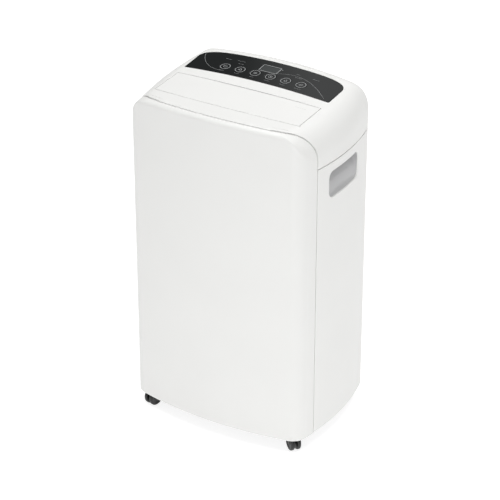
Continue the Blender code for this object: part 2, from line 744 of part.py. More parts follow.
def make_base():
    """The base pan with caster sockets, tank runners and compressor studs."""
    pan = skin(WALL + FIT_GAP, 0.0) & box((-250, -250, PAN_Z[0]), (250, 250, PAN_RIM_Z))
    pan = pan - (skin(WALL * 2 + FIT_GAP, 0.0) & box((-250, -250, PAN_Z[1]), (250, 250, 90)))
    for x, y, _ in CASTERS.values():
        pan = pan + cylinder((x, y, PAN_Z[0] + 1), (x, y, 51.6), 10)
    for x in (-70.0, 70.0):
        pan = pan + box((x - 3, 20, PAN_Z[0] + 1), (x + 3, 108, TANK_Z[0] - 0.3))
    for x, y in compressor_feet():
        pan = pan + cylinder((x, y, PAN_Z[0] + 1), (x, y, 66), 3.0, 10)
    for x, y, _ in CASTERS.values():
        pan = pan - cylinder((x, y, 20), (x, y, 49.6), STEM + 0.4, 16)
    pan.node("base_pan", "abs_black")


def compressor_feet():
    """Return the plan places of the compressor's three feet."""
    x, y = COMPRESSOR
    return [(x + 60 * math.cos(a), y + 60 * math.sin(a)) for a in np.radians((150, 270, 30))]


def make_casters():
    """Four twin-wheel casters: a hooded fork on a stem, and two wheels on one axle."""
    for name, (x, y, heading) in CASTERS.items():
        turn = Matrix.Translation((x, y, 0)) @ Matrix.Rotation(math.radians(heading), 4, "Z")
        fork = cylinder((0, 0, 24), (0, 0, PAN_Z[0] - 0.5), 9, 20)
        fork = fork + cylinder((0, 0, 30), (0, 0, 48.8), STEM, 16)
        reach = WHEEL_RADIUS + 2.6
        hood = cylinder((CASTER_TRAIL, -9.4, WHEEL_RADIUS), (CASTER_TRAIL, 9.4, WHEEL_RADIUS), reach, 20)
        hollow = WHEEL_RADIUS + 0.8
        inner = cylinder((CASTER_TRAIL, -20, WHEEL_RADIUS), (CASTER_TRAIL, 20, WHEEL_RADIUS), hollow, 20)
        web = box((-4, -1.6, 11), (CASTER_TRAIL + 3, 1.6, 33)) & hood
        hood = (hood - inner) & box((-30, -30, 14), (CASTER_TRAIL + 8, 30, 60))
        fork = (fork - inner) + hood + web
        fork = fork - cylinder((CASTER_TRAIL, -20, WHEEL_RADIUS), (CASTER_TRAIL, 20, WHEEL_RADIUS), 2.6, 12)
        fork.moved(turn).node(f"caster_fork_{name}", "caster_black", (x, y, PAN_Z[0]))
        roll = cylinder((CASTER_TRAIL, -9, WHEEL_RADIUS), (CASTER_TRAIL, -2.1, WHEEL_RADIUS), WHEEL_RADIUS, 20)
        roll = roll + cylinder((CASTER_TRAIL, 2.1, WHEEL_RADIUS), (CASTER_TRAIL, 9, WHEEL_RADIUS), WHEEL_RADIUS, 20)
        roll = roll + cylinder((CASTER_TRAIL, -5, WHEEL_RADIUS), (CASTER_TRAIL, 5, WHEEL_RADIUS), 2.0, 12)
        centre = turn @ Vector((CASTER_TRAIL, 0, WHEEL_RADIUS))
        roll.moved(turn).node(f"caster_wheel_{name}", "caster_black", tuple(centre))


def make_frame():
    """The inner frame: the wall in front of the tank and the shelf above it."""
    wall = skin(WALL * 2 + FIT_GAP + 1, 0.0) & box((-250, FRAME_WALL_Y[0], 42.4), (250, FRAME_WALL_Y[1], 297))
    shelf = skin(WALL + FIT_GAP, 0.0) & box((-250, -112, SHELF_Z[0]), (250, 250, SHELF_Z[1]))
    frame = wall + shelf
    frame = frame - cylinder((*DRIP, 280), (*DRIP, 310), 7.5)
    frame = frame - box((-150, -34, 280), (-106, 40, 310))
    frame.node("inner_frame", "white_inner")


def make_tray():
    """The drip tray under the coils, with its spout to the tank and its drain nozzle."""
    tray = box((-128, 48, SHELF_Z[1] + 0.3), (128, 110, 314)) - box((-126, 50, 301.3), (126, 108, 330))
    tray = tray + cylinder((*DRIP, 293), (*DRIP, 302), 6.0)
    tray = tray + cylinder((DRAIN_X, 109, DRAIN_Z), (DRAIN_X, 125.6, DRAIN_Z), 6.2)
    tray = tray - cylinder((*DRIP, 280), (*DRIP, 306), 4.2)
    tray = tray - cylinder((DRAIN_X, 100, DRAIN_Z), (DRAIN_X, 140, DRAIN_Z), 4.4)
    tray.node("drip_tray", "white_inner")
    plug = cylinder((DRAIN_X, 118, DRAIN_Z), (DRAIN_X, 127, DRAIN_Z), 4.0)
    plug = plug + cylinder((DRAIN_X, 126.0, DRAIN_Z), (DRAIN_X, 128.2, DRAIN_Z), 7.4)
    plug.node("drain_plug", "rubber", (DRAIN_X, 126, DRAIN_Z))


def make_tank():
    """The water tank with its pull, the clear level strip, the lid and the hinged float."""
    inner_x, inner_y = TANK_HALF - TANK_WALL, TANK_FRONT_Y + TANK_WALL
    front_view = rounded_rectangle((-TANK_HALF, TANK_Z[0]), (TANK_HALF, TANK_Z[1]), 7.4, 4)
    tank = prism(front_view, 1, TANK_FRONT_Y, 200) & skin(0.0, 0.0)
    hollow = rounded_rectangle((-inner_x, TANK_Z[0] + TANK_WALL), (inner_x, 400), 5.2, 4)
    room = prism(hollow, 1, inner_y, 200) & skin(WALL, 0.0)
    over_rim = box((-200, 0, TANK_RIM_Z), (200, 200, 400)) & skin(WALL, 0.0)
    tank = (tank - room) - over_rim
    grip = box((-50, 96, 246), (50, 200, TANK_RIM_Z)) & skin(0.4, 0.0)
    pull = [(200, 281), (103, 281), (103, 266), (122, 249), (200, 249)]
    tank = (tank + grip) - prism(pull, 0, -46, 46)
    tank = tank - box((LEVEL_X[0], 80, LEVEL_Z[0]), (LEVEL_X[1], 200, LEVEL_Z[1]))
    tank.node("water_tank", "tank_smoke")
    strip = box((LEVEL_X[0] + 0.3, 80, LEVEL_Z[0] + 0.3), (LEVEL_X[1] - 0.3, 200, LEVEL_Z[1] - 0.3))
    ((skin(0.4, 0.0) - skin(2.0, -5.0)) & strip).node("level_window", "window_smoke")
    lid_half = TANK_HALF - 1.0
    lid = box((-lid_half, TANK_FRONT_Y, TANK_RIM_Z + 0.3), (lid_half, 200, TANK_RIM_Z + 2.8))
    lid = (lid & skin(WALL + 0.5, 0.0)) - cylinder((*DRIP, 270), (*DRIP, 300), 16)
    x, y, z = FLOAT_PIVOT
    for side in (-1, 1):
        ear = box((x + side * 10 - 1, y - 5, z - 5), (x + side * 10 + 1, y + 5, TANK_RIM_Z + 1))
        lid = lid + ear
    lid = lid - cylinder((x - 20, y, z), (x + 20, y, z), 2.1, 12)
    lid.node("tank_lid", "tank_smoke")
    floater = box((x - 4, y - 3, z - 3), (x + 4, y + 24, z + 2)) + cylinder((x - 12, y, z), (x + 12, y, z), 1.6, 12)
    floater = floater + box((x - 12, y + 20, z - 14), (x + 12, y + 52, z))
    floater.node("tank_float", "filter_grey", FLOAT_PIVOT)


def make_coil(name, span, finish_name):
    """One heat exchanger: a finned core between two end plates, with its return bends."""
    front, back = span
    pitch = 2 * COIL_HALF / FINS
    ridge = []
    for fin in range(FINS):
        x = -COIL_HALF + pitch * fin
        ridge += [(x, 0.0), (x + pitch * 0.4, 0.0), (x + pitch * 0.4, 3.0), (x + pitch, 3.0)]
    points = [(x, front + depth) for x, depth in ridge]
    points += [(x, back - depth) for x, depth in reversed(ridge)]
    coil = prism(points, 2, COIL_Z[0] + 10, COIL_Z[1])
    middle = (front + back) / 2
    for side in (-1, 1):
        inner, outer = side * (COIL_HALF - 3), side * (COIL_HALF + 1.5)
        low, high = min(inner, outer), max(inner, outer)
        coil = coil + box((low, front - 1, COIL_Z[0]), (high, back + 1, COIL_Z[1] + 2))
        for row in range(0 if side > 0 else 1, COIL_ROWS - 1, 2):
            near, far = side * COIL_HALF, side * (COIL_HALF + 12)
            z, above = coil_row(row), coil_row(row + 1)
            route = [(near, middle, z), (far, middle, z), (far, middle, above), (near, middle, above)]
            coil = coil + pipe(route, PIPE, 5, 8, 1)
    coil.node(name, finish_name)


def coil_row(row):
    """Return the height of one of the coil's tube rows."""
    return COIL_Z[0] + 28.0 + (COIL_Z[1] - COIL_Z[0] - 42.0) * row / (COIL_ROWS - 1)


def scroll(grow, low_y, high_y, top):
    """Return the blower's scroll: a growing spiral that opens upwards into a chimney."""
    points = [(BLOWER_X, BLOWER_Z)]
    for degrees in range(60, 361, 20):
        radius = SCROLL_START + SCROLL_GROWTH * (degrees - 60) / 300 + grow
        angle = math.radians(degrees)
        points.append((BLOWER_X + radius * math.cos(angle), BLOWER_Z + radius * math.sin(angle)))
    left = BLOWER_X + 40 - grow
    right = BLOWER_X + SCROLL_START + SCROLL_GROWTH + grow
    chimney = box((left, low_y, BLOWER_Z - 6 - grow), (right, high_y, top))
    return prism(points, 1, low_y, high_y) + chimney


def make_blower():
    """The scroll housing, the wheel on its shaft, the motor and the shroud behind the coils."""
    low, high = BLOWER_Y
    foot = box((-45, low + 6, SHELF_Z[1] + 0.3), (20, high - 6, 312))
    housing = (scroll(2.0, low, high, 502.2) + foot) - scroll(0.0, low + 2, high - 2, 520)
    open_room = ((BLOWER_X, low + 2, BLOWER_Z), (BLOWER_X, high - 2, BLOWER_Z))
    housing = housing - cylinder(*open_room, SCROLL_START - 1, 20)
    housing = housing - cylinder((BLOWER_X, high - 10, BLOWER_Z), (BLOWER_X, high + 5, BLOWER_Z), WHEEL_INNER - 2, 20)
    housing = housing - cylinder((BLOWER_X, low - 5, BLOWER_Z), (BLOWER_X, low + 10, BLOWER_Z), 40, 24)
    housing.node("blower_housing", "abs_black")

    def drum(start, stop, radius, sides=20):
        return cylinder((BLOWER_X, start, BLOWER_Z), (BLOWER_X, stop, BLOWER_Z), radius, sides)

    wheel = drum(6, 7.6, WHEEL_OUTER) + (drum(40, 41.6, WHEEL_OUTER) - drum(30, 50, WHEEL_INNER))
    blade = box((WHEEL_INNER + 1, 7, -0.8), (WHEEL_OUTER - 1, 41, 0.8))
    blades = []
    lean = Matrix.Translation((WHEEL_INNER, 0, 0)) @ Matrix.Rotation(math.radians(35), 4, "Y")
    lean = lean @ Matrix.Translation((-WHEEL_INNER, 0, 0))
    for index in range(BLADES):
        turn = Matrix.Rotation(2 * math.pi * index / BLADES, 4, "Y")
        blades.append(blade.moved(Matrix.Translation((BLOWER_X, 0, BLOWER_Z)) @ turn @ lean))
    wheel = (wheel + blades[0].joined(blades[1:])) + drum(6.5, 26, 12, 16) + drum(-30, 20, SHAFT_RADIUS, 12)
    wheel.node("blower_wheel", "abs_black", (BLOWER_X, 24, BLOWER_Z))
    motor = drum(-52, -2, MOTOR_RADIUS) + drum(-3, 1.7, 46) - drum(-34, 10, SHAFT_RADIUS + 0.6, 12)
    motor.node("fan_motor", "steel")
    shroud = box((-110, 49, SHELF_Z[1] + 17), (110, 51, 496)) - drum(45, 55, WHEEL_INNER - 2)
    for side in (-1, 1):
        shroud = shroud + box((side * 108 - 2, 50, SHELF_Z[1] + 3), (side * 108 + 2, 54, 496))
    shroud.node("air_shroud", "white_inner")


def make_compressor():
    """The compressor on three rubber grommets, with its accumulator and terminal cover."""
    x, y = COMPRESSOR
    low, high = COMPRESSOR_Z
    dome = [(0, low - 1), (40, low - 1), (COMPRESSOR_RADIUS, low + 9), (COMPRESSOR_RADIUS, high - 20)]
    dome += [(42, high - 8), (24, high - 1), (0, high)]
    body = turned(dome, (x, y, 0)) + cylinder((x, y, high - 4), (x, y, high + 3), 5, 12)
    feet = compressor_feet()
    plate = []
    for foot_x, foot_y in feet:
        facing = math.atan2(foot_y - y, foot_x - x)
        for angle in np.radians((-60, -20, 20, 60)) + facing:
            plate.append((foot_x + 11 * math.cos(angle), foot_y + 11 * math.sin(angle)))
    body = body + prism(plate, 2, 61.4, 64.4)
    for foot in feet:
        body = body - cylinder((*foot, 50), (*foot, 80), 3.6, 12)
    body.node("compressor", "black_steel")
    for index, foot in enumerate(feet):
        grommet = cylinder((*foot, PAN_Z[1] + 0.3), (*foot, 61.1), 8, 12)
        grommet = grommet - cylinder((*foot, 30), (*foot, 80), 3.4, 12)
        grommet.node(f"compressor_grommet_{index + 1}", "rubber")
    tank_x, tank_y = ACCUMULATOR
    bottle = [(0, 90), (12, 90), (20, 98), (20, 190), (12, 200), (0, 200)]
    bottle = turned(bottle, (tank_x, tank_y, 0), sides=20)
    bottle = bottle + cylinder((tank_x, tank_y, 196), (tank_x, tank_y, 206), 5, 12)
    route = [(tank_x, tank_y, 94), (tank_x, tank_y, 76), (x + COMPRESSOR_RADIUS - 0.5, y - 9, 76)]
    bottle = bottle + pipe(route, PIPE + 1, 8, 10)
    bracket = box((x + 46.8, tank_y - 5, 150), (tank_x - 17, tank_y + 5, 158))
    (bottle + bracket).node("accumulator", "black_steel")
    cover = box((x - 13, y - 60, 130), (x + 13, y - COMPRESSOR_RADIUS - 0.6, 168))
    cover.node("terminal_cover", "abs_black")


def make_lines():
    """The refrigerant circuit: discharge, suction, liquid and capillary lines, and the drier."""
    x, y = COMPRESSOR
    evaporator = sum(EVAPORATOR_Y) / 2
    condenser = sum(CONDENSER_Y) / 2
    end = -COIL_HALF - 2.0
    top, bottom = coil_row(COIL_ROWS - 1), coil_row(0)
    start = COMPRESSOR_Z[1] + 3.4
    route = [(x, y, start), (x, y, 245), (-120, -10, 245), (-120, -10, top), (-120, condenser, top)]
    pipe(route + [(end, condenser, top)], PIPE).node("discharge_line", "copper")
    route = [(end, evaporator, bottom), (-134, evaporator, bottom), (-134, -20, bottom), (-134, -20, 262)]
    route += [(*ACCUMULATOR, 262), (*ACCUMULATOR, 206.4)]
    pipe(route, PIPE + 0.8).node("suction_line", "copper")
    route = [(end, condenser, bottom), (-124, condenser, bottom), (-124, 34, bottom), (-124, 34, 362)]
    pipe(route, PIPE - 0.8, bend=8).node("liquid_line", "copper")
    drier = [(0, 362.4), (4, 362.4), (9, 370), (9, 406), (4, 414), (0, 414)]
    turned(drier, (-124, 34, 0), sides=16).node("filter_drier", "copper")
    route = [(-124, 34, 414.4), (-124, 34, 426), (-137, 34, 426), (-137, evaporator, 426)]
    route += [(-137, evaporator, top), (end, evaporator, top)]
    pipe(route, 1.5, 6, 8).node("capillary_line", "copper")


def make_electrics():
    """The control box with its lid, board and capacitor, and the sensors and cord gland."""
    low, high = (-98.0, -104.0, SHELF_Z[1] + 0.4), (66.0, -64.0, 420.0)
    case = box(low, high) - box((low[0] + 2, low[1] - 5, low[2] + 2), (high[0] - 2, high[1] - 2, high[2] - 2))
    case.node("control_box", "white_inner")
    lid = box((low[0], low[1] - 2.4, low[2]), (high[0], low[1] - 0.4, high[2]))
    lid.node("control_box_lid", "white_inner")
    board = box((low[0] + 4, -70.0, low[2] + 5), (high[0] - 50, -68.4, high[2] - 5))
    parts = ((-80, 320, 18, 14), (-50, 330, 14, 20), (-84, 370, 22, 12), (-40, 385, 16, 16), (-12, 350, 12, 18))
    for x, z, size, reach in parts:
        board = board + box((x, -69.5 - reach, z), (x + size, -69.0, z + size))
    board.node("main_board", "board_green")
    capacitor = cylinder((42, -86, low[2] + 2.4), (42, -86, 352), 16, 20)
    capacitor = capacitor + cylinder((42, -86, 350), (42, -86, 358), 5, 12)
    capacitor.node("run_capacitor", "aluminium")
    box((128, 112, 380), (138, 116.2, 400)).node("humidity_sensor", "abs_black")
    box((60, 10.8, 200), (84, 13.6, 222)).node("level_switch", "abs_black")
    x, z = GLAND
    gland = cylinder((x, 124, z), (x, 127, z), 10, 20) + cylinder((x, 111, z), (x, 125, z), 6.8, 20)
    gland = gland - cylinder((x, 100, z), (x, 130, z), 3.6, 12)
    gland.node("cord_gland", "abs_black")


def main():
    """Build every piece of the dehumidifier."""
    for item in list(bpy.data.objects):
        bpy.data.objects.remove(item)
    make_panel()
    make_casing()
    make_cover()
    make_flap()
    make_grille()
    make_duct()
    make_controls()
    make_cups()
    make_intake()
    make_base()
    make_casters()
    make_frame()
    make_tray()
    make_tank()
    make_coil("evaporator", EVAPORATOR_Y, "aluminium")
    make_coil("condenser", CONDENSER_Y, "aluminium")
    make_blower()
    make_compressor()
    make_lines()
    make_electrics()


if __name__ == "__main__":
    main()
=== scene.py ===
"""Looks of a portable compressor dehumidifier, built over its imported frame.

Every shell is a thin sheet: a flat outline with holes is triangulated, lifted onto the
cabinet's skin, rounded over along its edges and given a wall. Lengths are in metres.
"""
import json
import logging
import math
from dataclasses import dataclass, field
from enum import Enum
from typing import Callable, Iterable, Sequence

import bmesh
import bpy
import numpy as np
from mathutils import Matrix, Vector
from mathutils.geometry import delaunay_2d_cdt


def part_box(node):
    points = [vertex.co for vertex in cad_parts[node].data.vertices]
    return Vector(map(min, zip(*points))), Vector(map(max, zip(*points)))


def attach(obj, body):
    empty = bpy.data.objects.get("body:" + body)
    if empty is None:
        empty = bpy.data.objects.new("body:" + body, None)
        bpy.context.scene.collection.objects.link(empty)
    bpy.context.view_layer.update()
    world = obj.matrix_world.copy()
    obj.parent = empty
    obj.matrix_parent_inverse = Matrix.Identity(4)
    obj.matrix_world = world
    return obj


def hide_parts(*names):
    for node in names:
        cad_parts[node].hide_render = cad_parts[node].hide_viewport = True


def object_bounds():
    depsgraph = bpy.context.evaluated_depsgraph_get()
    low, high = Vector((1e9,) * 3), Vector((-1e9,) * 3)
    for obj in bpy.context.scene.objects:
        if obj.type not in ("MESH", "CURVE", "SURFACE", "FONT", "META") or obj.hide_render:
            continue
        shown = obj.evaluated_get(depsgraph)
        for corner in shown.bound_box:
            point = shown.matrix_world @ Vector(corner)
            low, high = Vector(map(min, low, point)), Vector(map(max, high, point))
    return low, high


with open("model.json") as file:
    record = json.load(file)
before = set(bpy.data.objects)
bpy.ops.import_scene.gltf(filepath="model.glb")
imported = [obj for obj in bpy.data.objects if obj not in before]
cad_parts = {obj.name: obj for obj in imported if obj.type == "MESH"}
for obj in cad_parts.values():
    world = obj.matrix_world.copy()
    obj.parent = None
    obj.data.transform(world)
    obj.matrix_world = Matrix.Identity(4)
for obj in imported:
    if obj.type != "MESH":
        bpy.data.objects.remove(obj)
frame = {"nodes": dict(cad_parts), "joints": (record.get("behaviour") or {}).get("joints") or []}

CAD_BOX = [list(map(float, corner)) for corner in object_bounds()]
LOG = logging.getLogger("dehumidifier")
SMOOTH_ANGLE = 38.0
MERGE_DISTANCE = 1e-7
Array = np.ndarray


# ---------------------------------------------------------------- shader graphs


class Wire:
    """A node output that can be used in arithmetic; each operator adds a Math node."""

    def __init__(self, graph: "Graph", socket: bpy.types.NodeSocket) -> None:
        """Wrap a socket of a graph."""
        self.graph = graph
        self.socket = socket

    def _math(self, operation: str, first: "Wire | float", second: "Wire | float") -> "Wire":
        """Add one Math node and return its value."""
        return self.graph.node("ShaderNodeMath", {"operation": operation}, {0: first, 1: second})

    def __add__(self, other: "Wire | float") -> "Wire":
        """Return self + other."""
        return self._math("ADD", self, other)

    def __mul__(self, other: "Wire | float") -> "Wire":
        """Return self * other."""
        return self._math("MULTIPLY", self, other)

    def __sub__(self, other: "Wire | float") -> "Wire":
        """Return self - other."""
        return self._math("SUBTRACT", self, other)

    def __rsub__(self, other: float) -> "Wire":
        """Return other - self."""
        return self._math("SUBTRACT", other, self)

    __radd__ = __add__
    __rmul__ = __mul__

    def maximum(self, other: "Wire | float") -> "Wire":
        """Return the larger of the two."""
        return self._math("MAXIMUM", self, other)

    def sine(self) -> "Wire":
        """Return the sine of the value."""
        return self._math("SINE", self, 0.0)

    def step(self, low: float, high: float) -> "Wire":
        """Return 0 below low and 1 above high, with a smooth ramp between."""
        settings = {"interpolation_type": "SMOOTHSTEP"}
        values = {"Value": self, "From Min": low, "From Max": high}
        return self.graph.node("ShaderNodeMapRange", settings, values)


class Graph:
    """One material's node tree around a Principled shader."""

    def __init__(self, name: str) -> None:
        """Make an empty material with its shader and output."""
        self.material = bpy.data.materials.new(name)
        self.material.use_nodes = True
        self.tree = self.material.node_tree
        self.shader = self.tree.nodes["Principled BSDF"]
        self.place = self.node("ShaderNodeTexCoord", {}, {}, "Object")

    def node(self, kind: str, settings: dict, values: dict, output: "str | int" = 0) -> Wire:
        """Add a node and return one of its outputs.

        Args:
            kind: The node's type name.
            settings: Properties to set first, such as an operation.
            values: Numbers, tuples or wires for the node's sockets.
            output: The name or index of the output to return.

        Returns:
            The chosen output as a wire.
        """
        made = self.tree.nodes.new(kind)
        for key, value in settings.items():
            setattr(made, key, value)
        for key, value in values.items():
            self.feed(made.inputs[key], value)
        return Wire(self, made.outputs[output])

    def feed(self, socket: bpy.types.NodeSocket, value: "Wire | float | tuple") -> None:
        """Link a wire to a socket, or set the socket's own value."""
        if isinstance(value, Wire):
            self.tree.links.new(value.socket, socket)
        else:
            socket.default_value = value

    def noise(self, scale: float, detail: float = 2.0, stretch: tuple = (1.0, 1.0, 1.0)) -> Wire:
        """Return a noise value around 0.5 on object coordinates, with scale in cycles per metre."""
        where = self.node("ShaderNodeMapping", {}, {"Vector": self.place, "Scale": stretch})
        return self.node("ShaderNodeTexNoise", {}, {"Vector": where, "Scale": scale, "Detail": detail})

    def mix(self, factor: Wire, low: tuple, high: tuple) -> Wire:
        """Blend two colours by a factor."""
        made = self.tree.nodes.new("ShaderNodeMix")
        made.data_type = "RGBA"
        self.feed(made.inputs["Factor"], factor)
        made.inputs[6].default_value = (*low, 1.0)
        made.inputs[7].default_value = (*high, 1.0)
        return Wire(self, made.outputs[2])

    def axis(self, index: int) -> Wire:
        """Return one object coordinate: 0 for X, 1 for Y, 2 for Z."""
        return self.node("ShaderNodeSeparateXYZ", {}, {"Vector": self.place}, index)

    def bump(self, height: Wire, strength: float, distance: float) -> None:
        """Drive the shader's normal from a height."""
        values = {"Height": height, "Strength": strength, "Distance": distance}
        self.feed(self.shader.inputs["Normal"], self.node("ShaderNodeBump", {}, values))

    def constant(self, **values: "float | tuple") -> None:
        """Set plain values on the shader's own sockets."""
        for key, value in values.items():
            self.shader.inputs[key.replace("_", " ")].default_value = value


class Surround(Graph):
    """The world's node tree, read by direction."""

    def __init__(self) -> None:
        """Make the world and its background."""
        world = bpy.data.worlds.new("surround")
        world.use_nodes = True
        bpy.context.scene.world = world
        self.tree = world.node_tree
        self.shader = self.tree.nodes["Background"]
        self.shader.inputs["Color"].default_value = (1.0, 1.0, 1.0, 1.0)
        self.place = self.node("ShaderNodeTexCoord", {}, {}, "Generated")

    def dot(self, direction: tuple) -> Wire:
        """Return the cosine between the looked-at direction and another."""
        values = {0: self.place, 1: tuple(Vector(direction).normalized())}
        return self.node("ShaderNodeVectorMath", {"operation": "DOT_PRODUCT"}, values, "Value")

    def light(self, strength: Wire) -> None:
        """Drive the surround's brightness."""
        self.feed(self.shader.inputs["Strength"], strength)


@dataclass(frozen=True)
class Moulded:
    """Moulded plastic with a spark-eroded texture, faint flow shading and handling marks."""

    name: str
    colour: tuple
    roughness: float = 0.42
    grain: float = 2600.0
    relief: float = 0.00006
    coat: float = 0.0
    specular: float = 0.5
    variation: float = 0.03

    def make(self) -> bpy.types.Material:
        """Build the material: colour drifts with a broad noise, roughness with a finer one."""
        graph = Graph(self.name)
        broad = graph.noise(9.0, 3.0)
        fine = graph.noise(self.grain, 2.0)
        smear = graph.noise(60.0, 4.0, (1.0, 1.0, 0.25))
        low = tuple(max(0.0, c * (1 - self.variation)) for c in self.colour)
        high = tuple(min(1.0, c * (1 + self.variation)) for c in self.colour)
        graph.feed(graph.shader.inputs["Base Color"], graph.mix(broad * 0.7 + fine * 0.3, low, high))
        rough = (smear - 0.5) * 0.14 + (fine - 0.5) * 0.08 + self.roughness
        graph.feed(graph.shader.inputs["Roughness"], rough)
        graph.bump(fine, 0.35, self.relief)
        graph.constant(Coat_Weight=self.coat, Specular_IOR_Level=self.specular)
        return graph.material


@dataclass(frozen=True)
class Polished:
    """Hard glossy plastic or glass: a clean gloss with faint dust and wiping streaks."""

    name: str
    colour: tuple
    haze: tuple
    roughness: float = 0.16
    coat: float = 0.6

    def make(self) -> bpy.types.Material:
        """Build the material: dust lightens the colour a little and dulls the gloss."""
        graph = Graph(self.name)
        dust = graph.noise(900.0, 3.0).step(0.62, 0.8)
        wipe = graph.noise(35.0, 3.0, (0.3, 1.0, 1.0))
        film = dust * 0.35 + wipe * 0.12
        graph.feed(graph.shader.inputs["Base Color"], graph.mix(film, self.colour, self.haze))
        graph.feed(graph.shader.inputs["Roughness"], (wipe - 0.5) * 0.12 + dust * 0.1 + self.roughness)
        graph.bump(graph.noise(14.0, 1.0), 0.05, 0.0004)
        graph.constant(Coat_Weight=self.coat, Coat_Roughness=0.06)
        return graph.material


@dataclass(frozen=True)
class Metal:
    """Bare, drawn or plated metal with fine directional lines and dull patches."""

    name: str
    colour: tuple
    roughness: float = 0.32
    stretch: tuple = (1.0, 1.0, 12.0)

    def make(self) -> bpy.types.Material:
        """Build the material: stretched noise gives the drawing lines, broad noise the tarnish."""
        graph = Graph(self.name)
        lines = graph.noise(700.0, 3.0, self.stretch)
        tarnish = graph.noise(30.0, 4.0).step(0.45, 0.75)
        dull = tuple(c * 0.72 for c in self.colour)
        ageing = tarnish * 0.5 + lines * 0.2
        graph.feed(graph.shader.inputs["Base Color"], graph.mix(ageing, self.colour, dull))
        graph.feed(graph.shader.inputs["Roughness"], lines * 0.16 + tarnish * 0.15 + self.roughness - 0.08)
        graph.bump(lines, 0.2, 0.00005)
        graph.constant(Metallic=1.0)
        return graph.material


@dataclass(frozen=True)
class Rubbery:
    """Rubber or nylon with a dusty bloom."""

    name: str
    colour: tuple
    roughness: float = 0.62

    def make(self) -> bpy.types.Material:
        """Build the material: a pale bloom in patches over a pebbled surface."""
        graph = Graph(self.name)
        pebble = graph.noise(1800.0, 2.0)
        bloom = graph.noise(80.0, 4.0).step(0.5, 0.85)
        pale = tuple(c + 0.035 for c in self.colour)
        graph.feed(graph.shader.inputs["Base Color"], graph.mix(bloom * 0.6, self.colour, pale))
        graph.feed(graph.shader.inputs["Roughness"], bloom * 0.15 + pebble * 0.1 + self.roughness - 0.05)
        graph.bump(pebble, 0.4, 0.0001)
        return graph.material


@dataclass(frozen=True)
class Woven:
    """The air filter's mesh: crossing threads with dark gaps."""

    name: str
    colour: tuple
    gap: tuple
    pitch: float = 0.0012

    def make(self) -> bpy.types.Material:
        """Build the material: two sine waves across X and Z make the threads."""
        graph = Graph(self.name)
        turns = 2 * math.pi / self.pitch
        across = (graph.axis(0) * turns).sine()
        along = (graph.axis(2) * turns).sine()
        thread = across.maximum(along)
        graph.feed(graph.shader.inputs["Base Color"], graph.mix(thread.step(0.2, 0.7), self.gap, self.colour))
        graph.feed(graph.shader.inputs["Roughness"], thread * 0.1 + 0.7)
        graph.bump(thread, 0.8, 0.0003)
        return graph.material


class Finish(Enum):
    """The finishes of this object, each made once."""

    SHELL = Moulded("shell_white", (0.80, 0.80, 0.785))
    INNER = Moulded("inner_white", (0.66, 0.66, 0.65), 0.55)
    # The cups' grey is partly their own colour and partly painted shade: it is darkened to the shaded tone
    # inside the carrying recesses.
    CUP = Moulded("recess_grey_and_painted_shade", (0.52, 0.52, 0.525), 0.5)
    BLACK = Moulded("black_moulding", (0.018, 0.018, 0.019), 0.5, variation=0.2)
    TANK = Polished("smoked_tank", (0.26, 0.285, 0.31), (0.40, 0.42, 0.44), 0.2, 0.3)
    LENS = Polished("gloss_lens", (0.013, 0.0145, 0.0145), (0.03, 0.031, 0.031), 0.08, 0.35)
    WINDOW = Polished("smoked_window", (0.045, 0.05, 0.05), (0.08, 0.08, 0.08), 0.1, 0.2)
    PRINT = Moulded("pale_print", (0.44, 0.45, 0.455), 0.5, variation=0.06)
    PRINT_DIM = Moulded("dim_print", (0.24, 0.245, 0.25), 0.5, variation=0.06)
    CASTER = Rubbery("caster_nylon", (0.007, 0.0075, 0.0075), 0.42)
    RUBBER = Rubbery("soft_rubber", (0.022, 0.022, 0.022))
    STEEL = Metal("plated_steel", (0.52, 0.53, 0.55))
    PAINTED = Moulded("black_paint", (0.02, 0.02, 0.021), 0.32, 700.0, 0.0002, variation=0.25)
    COPPER = Metal("drawn_copper", (0.78, 0.36, 0.20), 0.26)
    ALUMINIUM = Metal("fin_aluminium", (0.78, 0.79, 0.80), 0.3)
    BOARD = Moulded("solder_green", (0.018, 0.13, 0.05), 0.38, 900.0, 0.0002, variation=0.3)
    FLOAT = Moulded("float_foam", (0.30, 0.31, 0.32), 0.8, 900.0, 0.0003, variation=0.12)
    MARK = Moulded("pale_mark", (0.60, 0.60, 0.60), 0.45)
    FLOOR = Moulded("studio_white", (0.50, 0.50, 0.50), 0.7, 300.0, 0.0001, variation=0.01)
    FILTER = Woven("filter_mesh", (0.07, 0.075, 0.08), (0.012, 0.012, 0.013))

    @property
    def material(self) -> bpy.types.Material:
        """Return the finish's material, making it the first time."""
        found = bpy.data.materials.get(self.value.name)
        return found or self.value.make()


# ---------------------------------------------------------------- mesh tools


@dataclass
class Patch:
    """Vertices and faces gathered for one mesh."""

    verts: list = field(default_factory=list)
    faces: list = field(default_factory=list)
    count: int = 0

    def add(self, verts: Array, faces: Iterable[Sequence[int]]) -> None:
        """Append a block of vertices with faces that count from the block's own start."""
        start = self.count
        self.verts.append(np.asarray(verts, float).reshape(-1, 3))
        self.faces.extend([tuple(int(index) + start for index in face) for face in faces])
        self.count += len(self.verts[-1])

    def piece(self, name: str, finish: Finish) -> bpy.types.Object:
        """Make the object at the origin, with faces outwards and the finish's material."""
        mesh = bpy.data.meshes.new(name)
        mesh.from_pydata(np.concatenate(self.verts).tolist(), [], self.faces)
        work = bmesh.new()
        work.from_mesh(mesh)
        bmesh.ops.remove_doubles(work, verts=work.verts, dist=MERGE_DISTANCE)
        bmesh.ops.recalc_face_normals(work, faces=work.faces)
        work.to_mesh(mesh)
        work.free()
        mesh.materials.append(finish.material)
        mesh.shade_smooth()
        mesh.set_sharp_from_angle(angle=math.radians(SMOOTH_ANGLE))
        made = bpy.data.objects.new(name, mesh)
        bpy.context.scene.collection.objects.link(made)
        LOG.info("%s: %d faces", name, len(mesh.polygons))
        return made


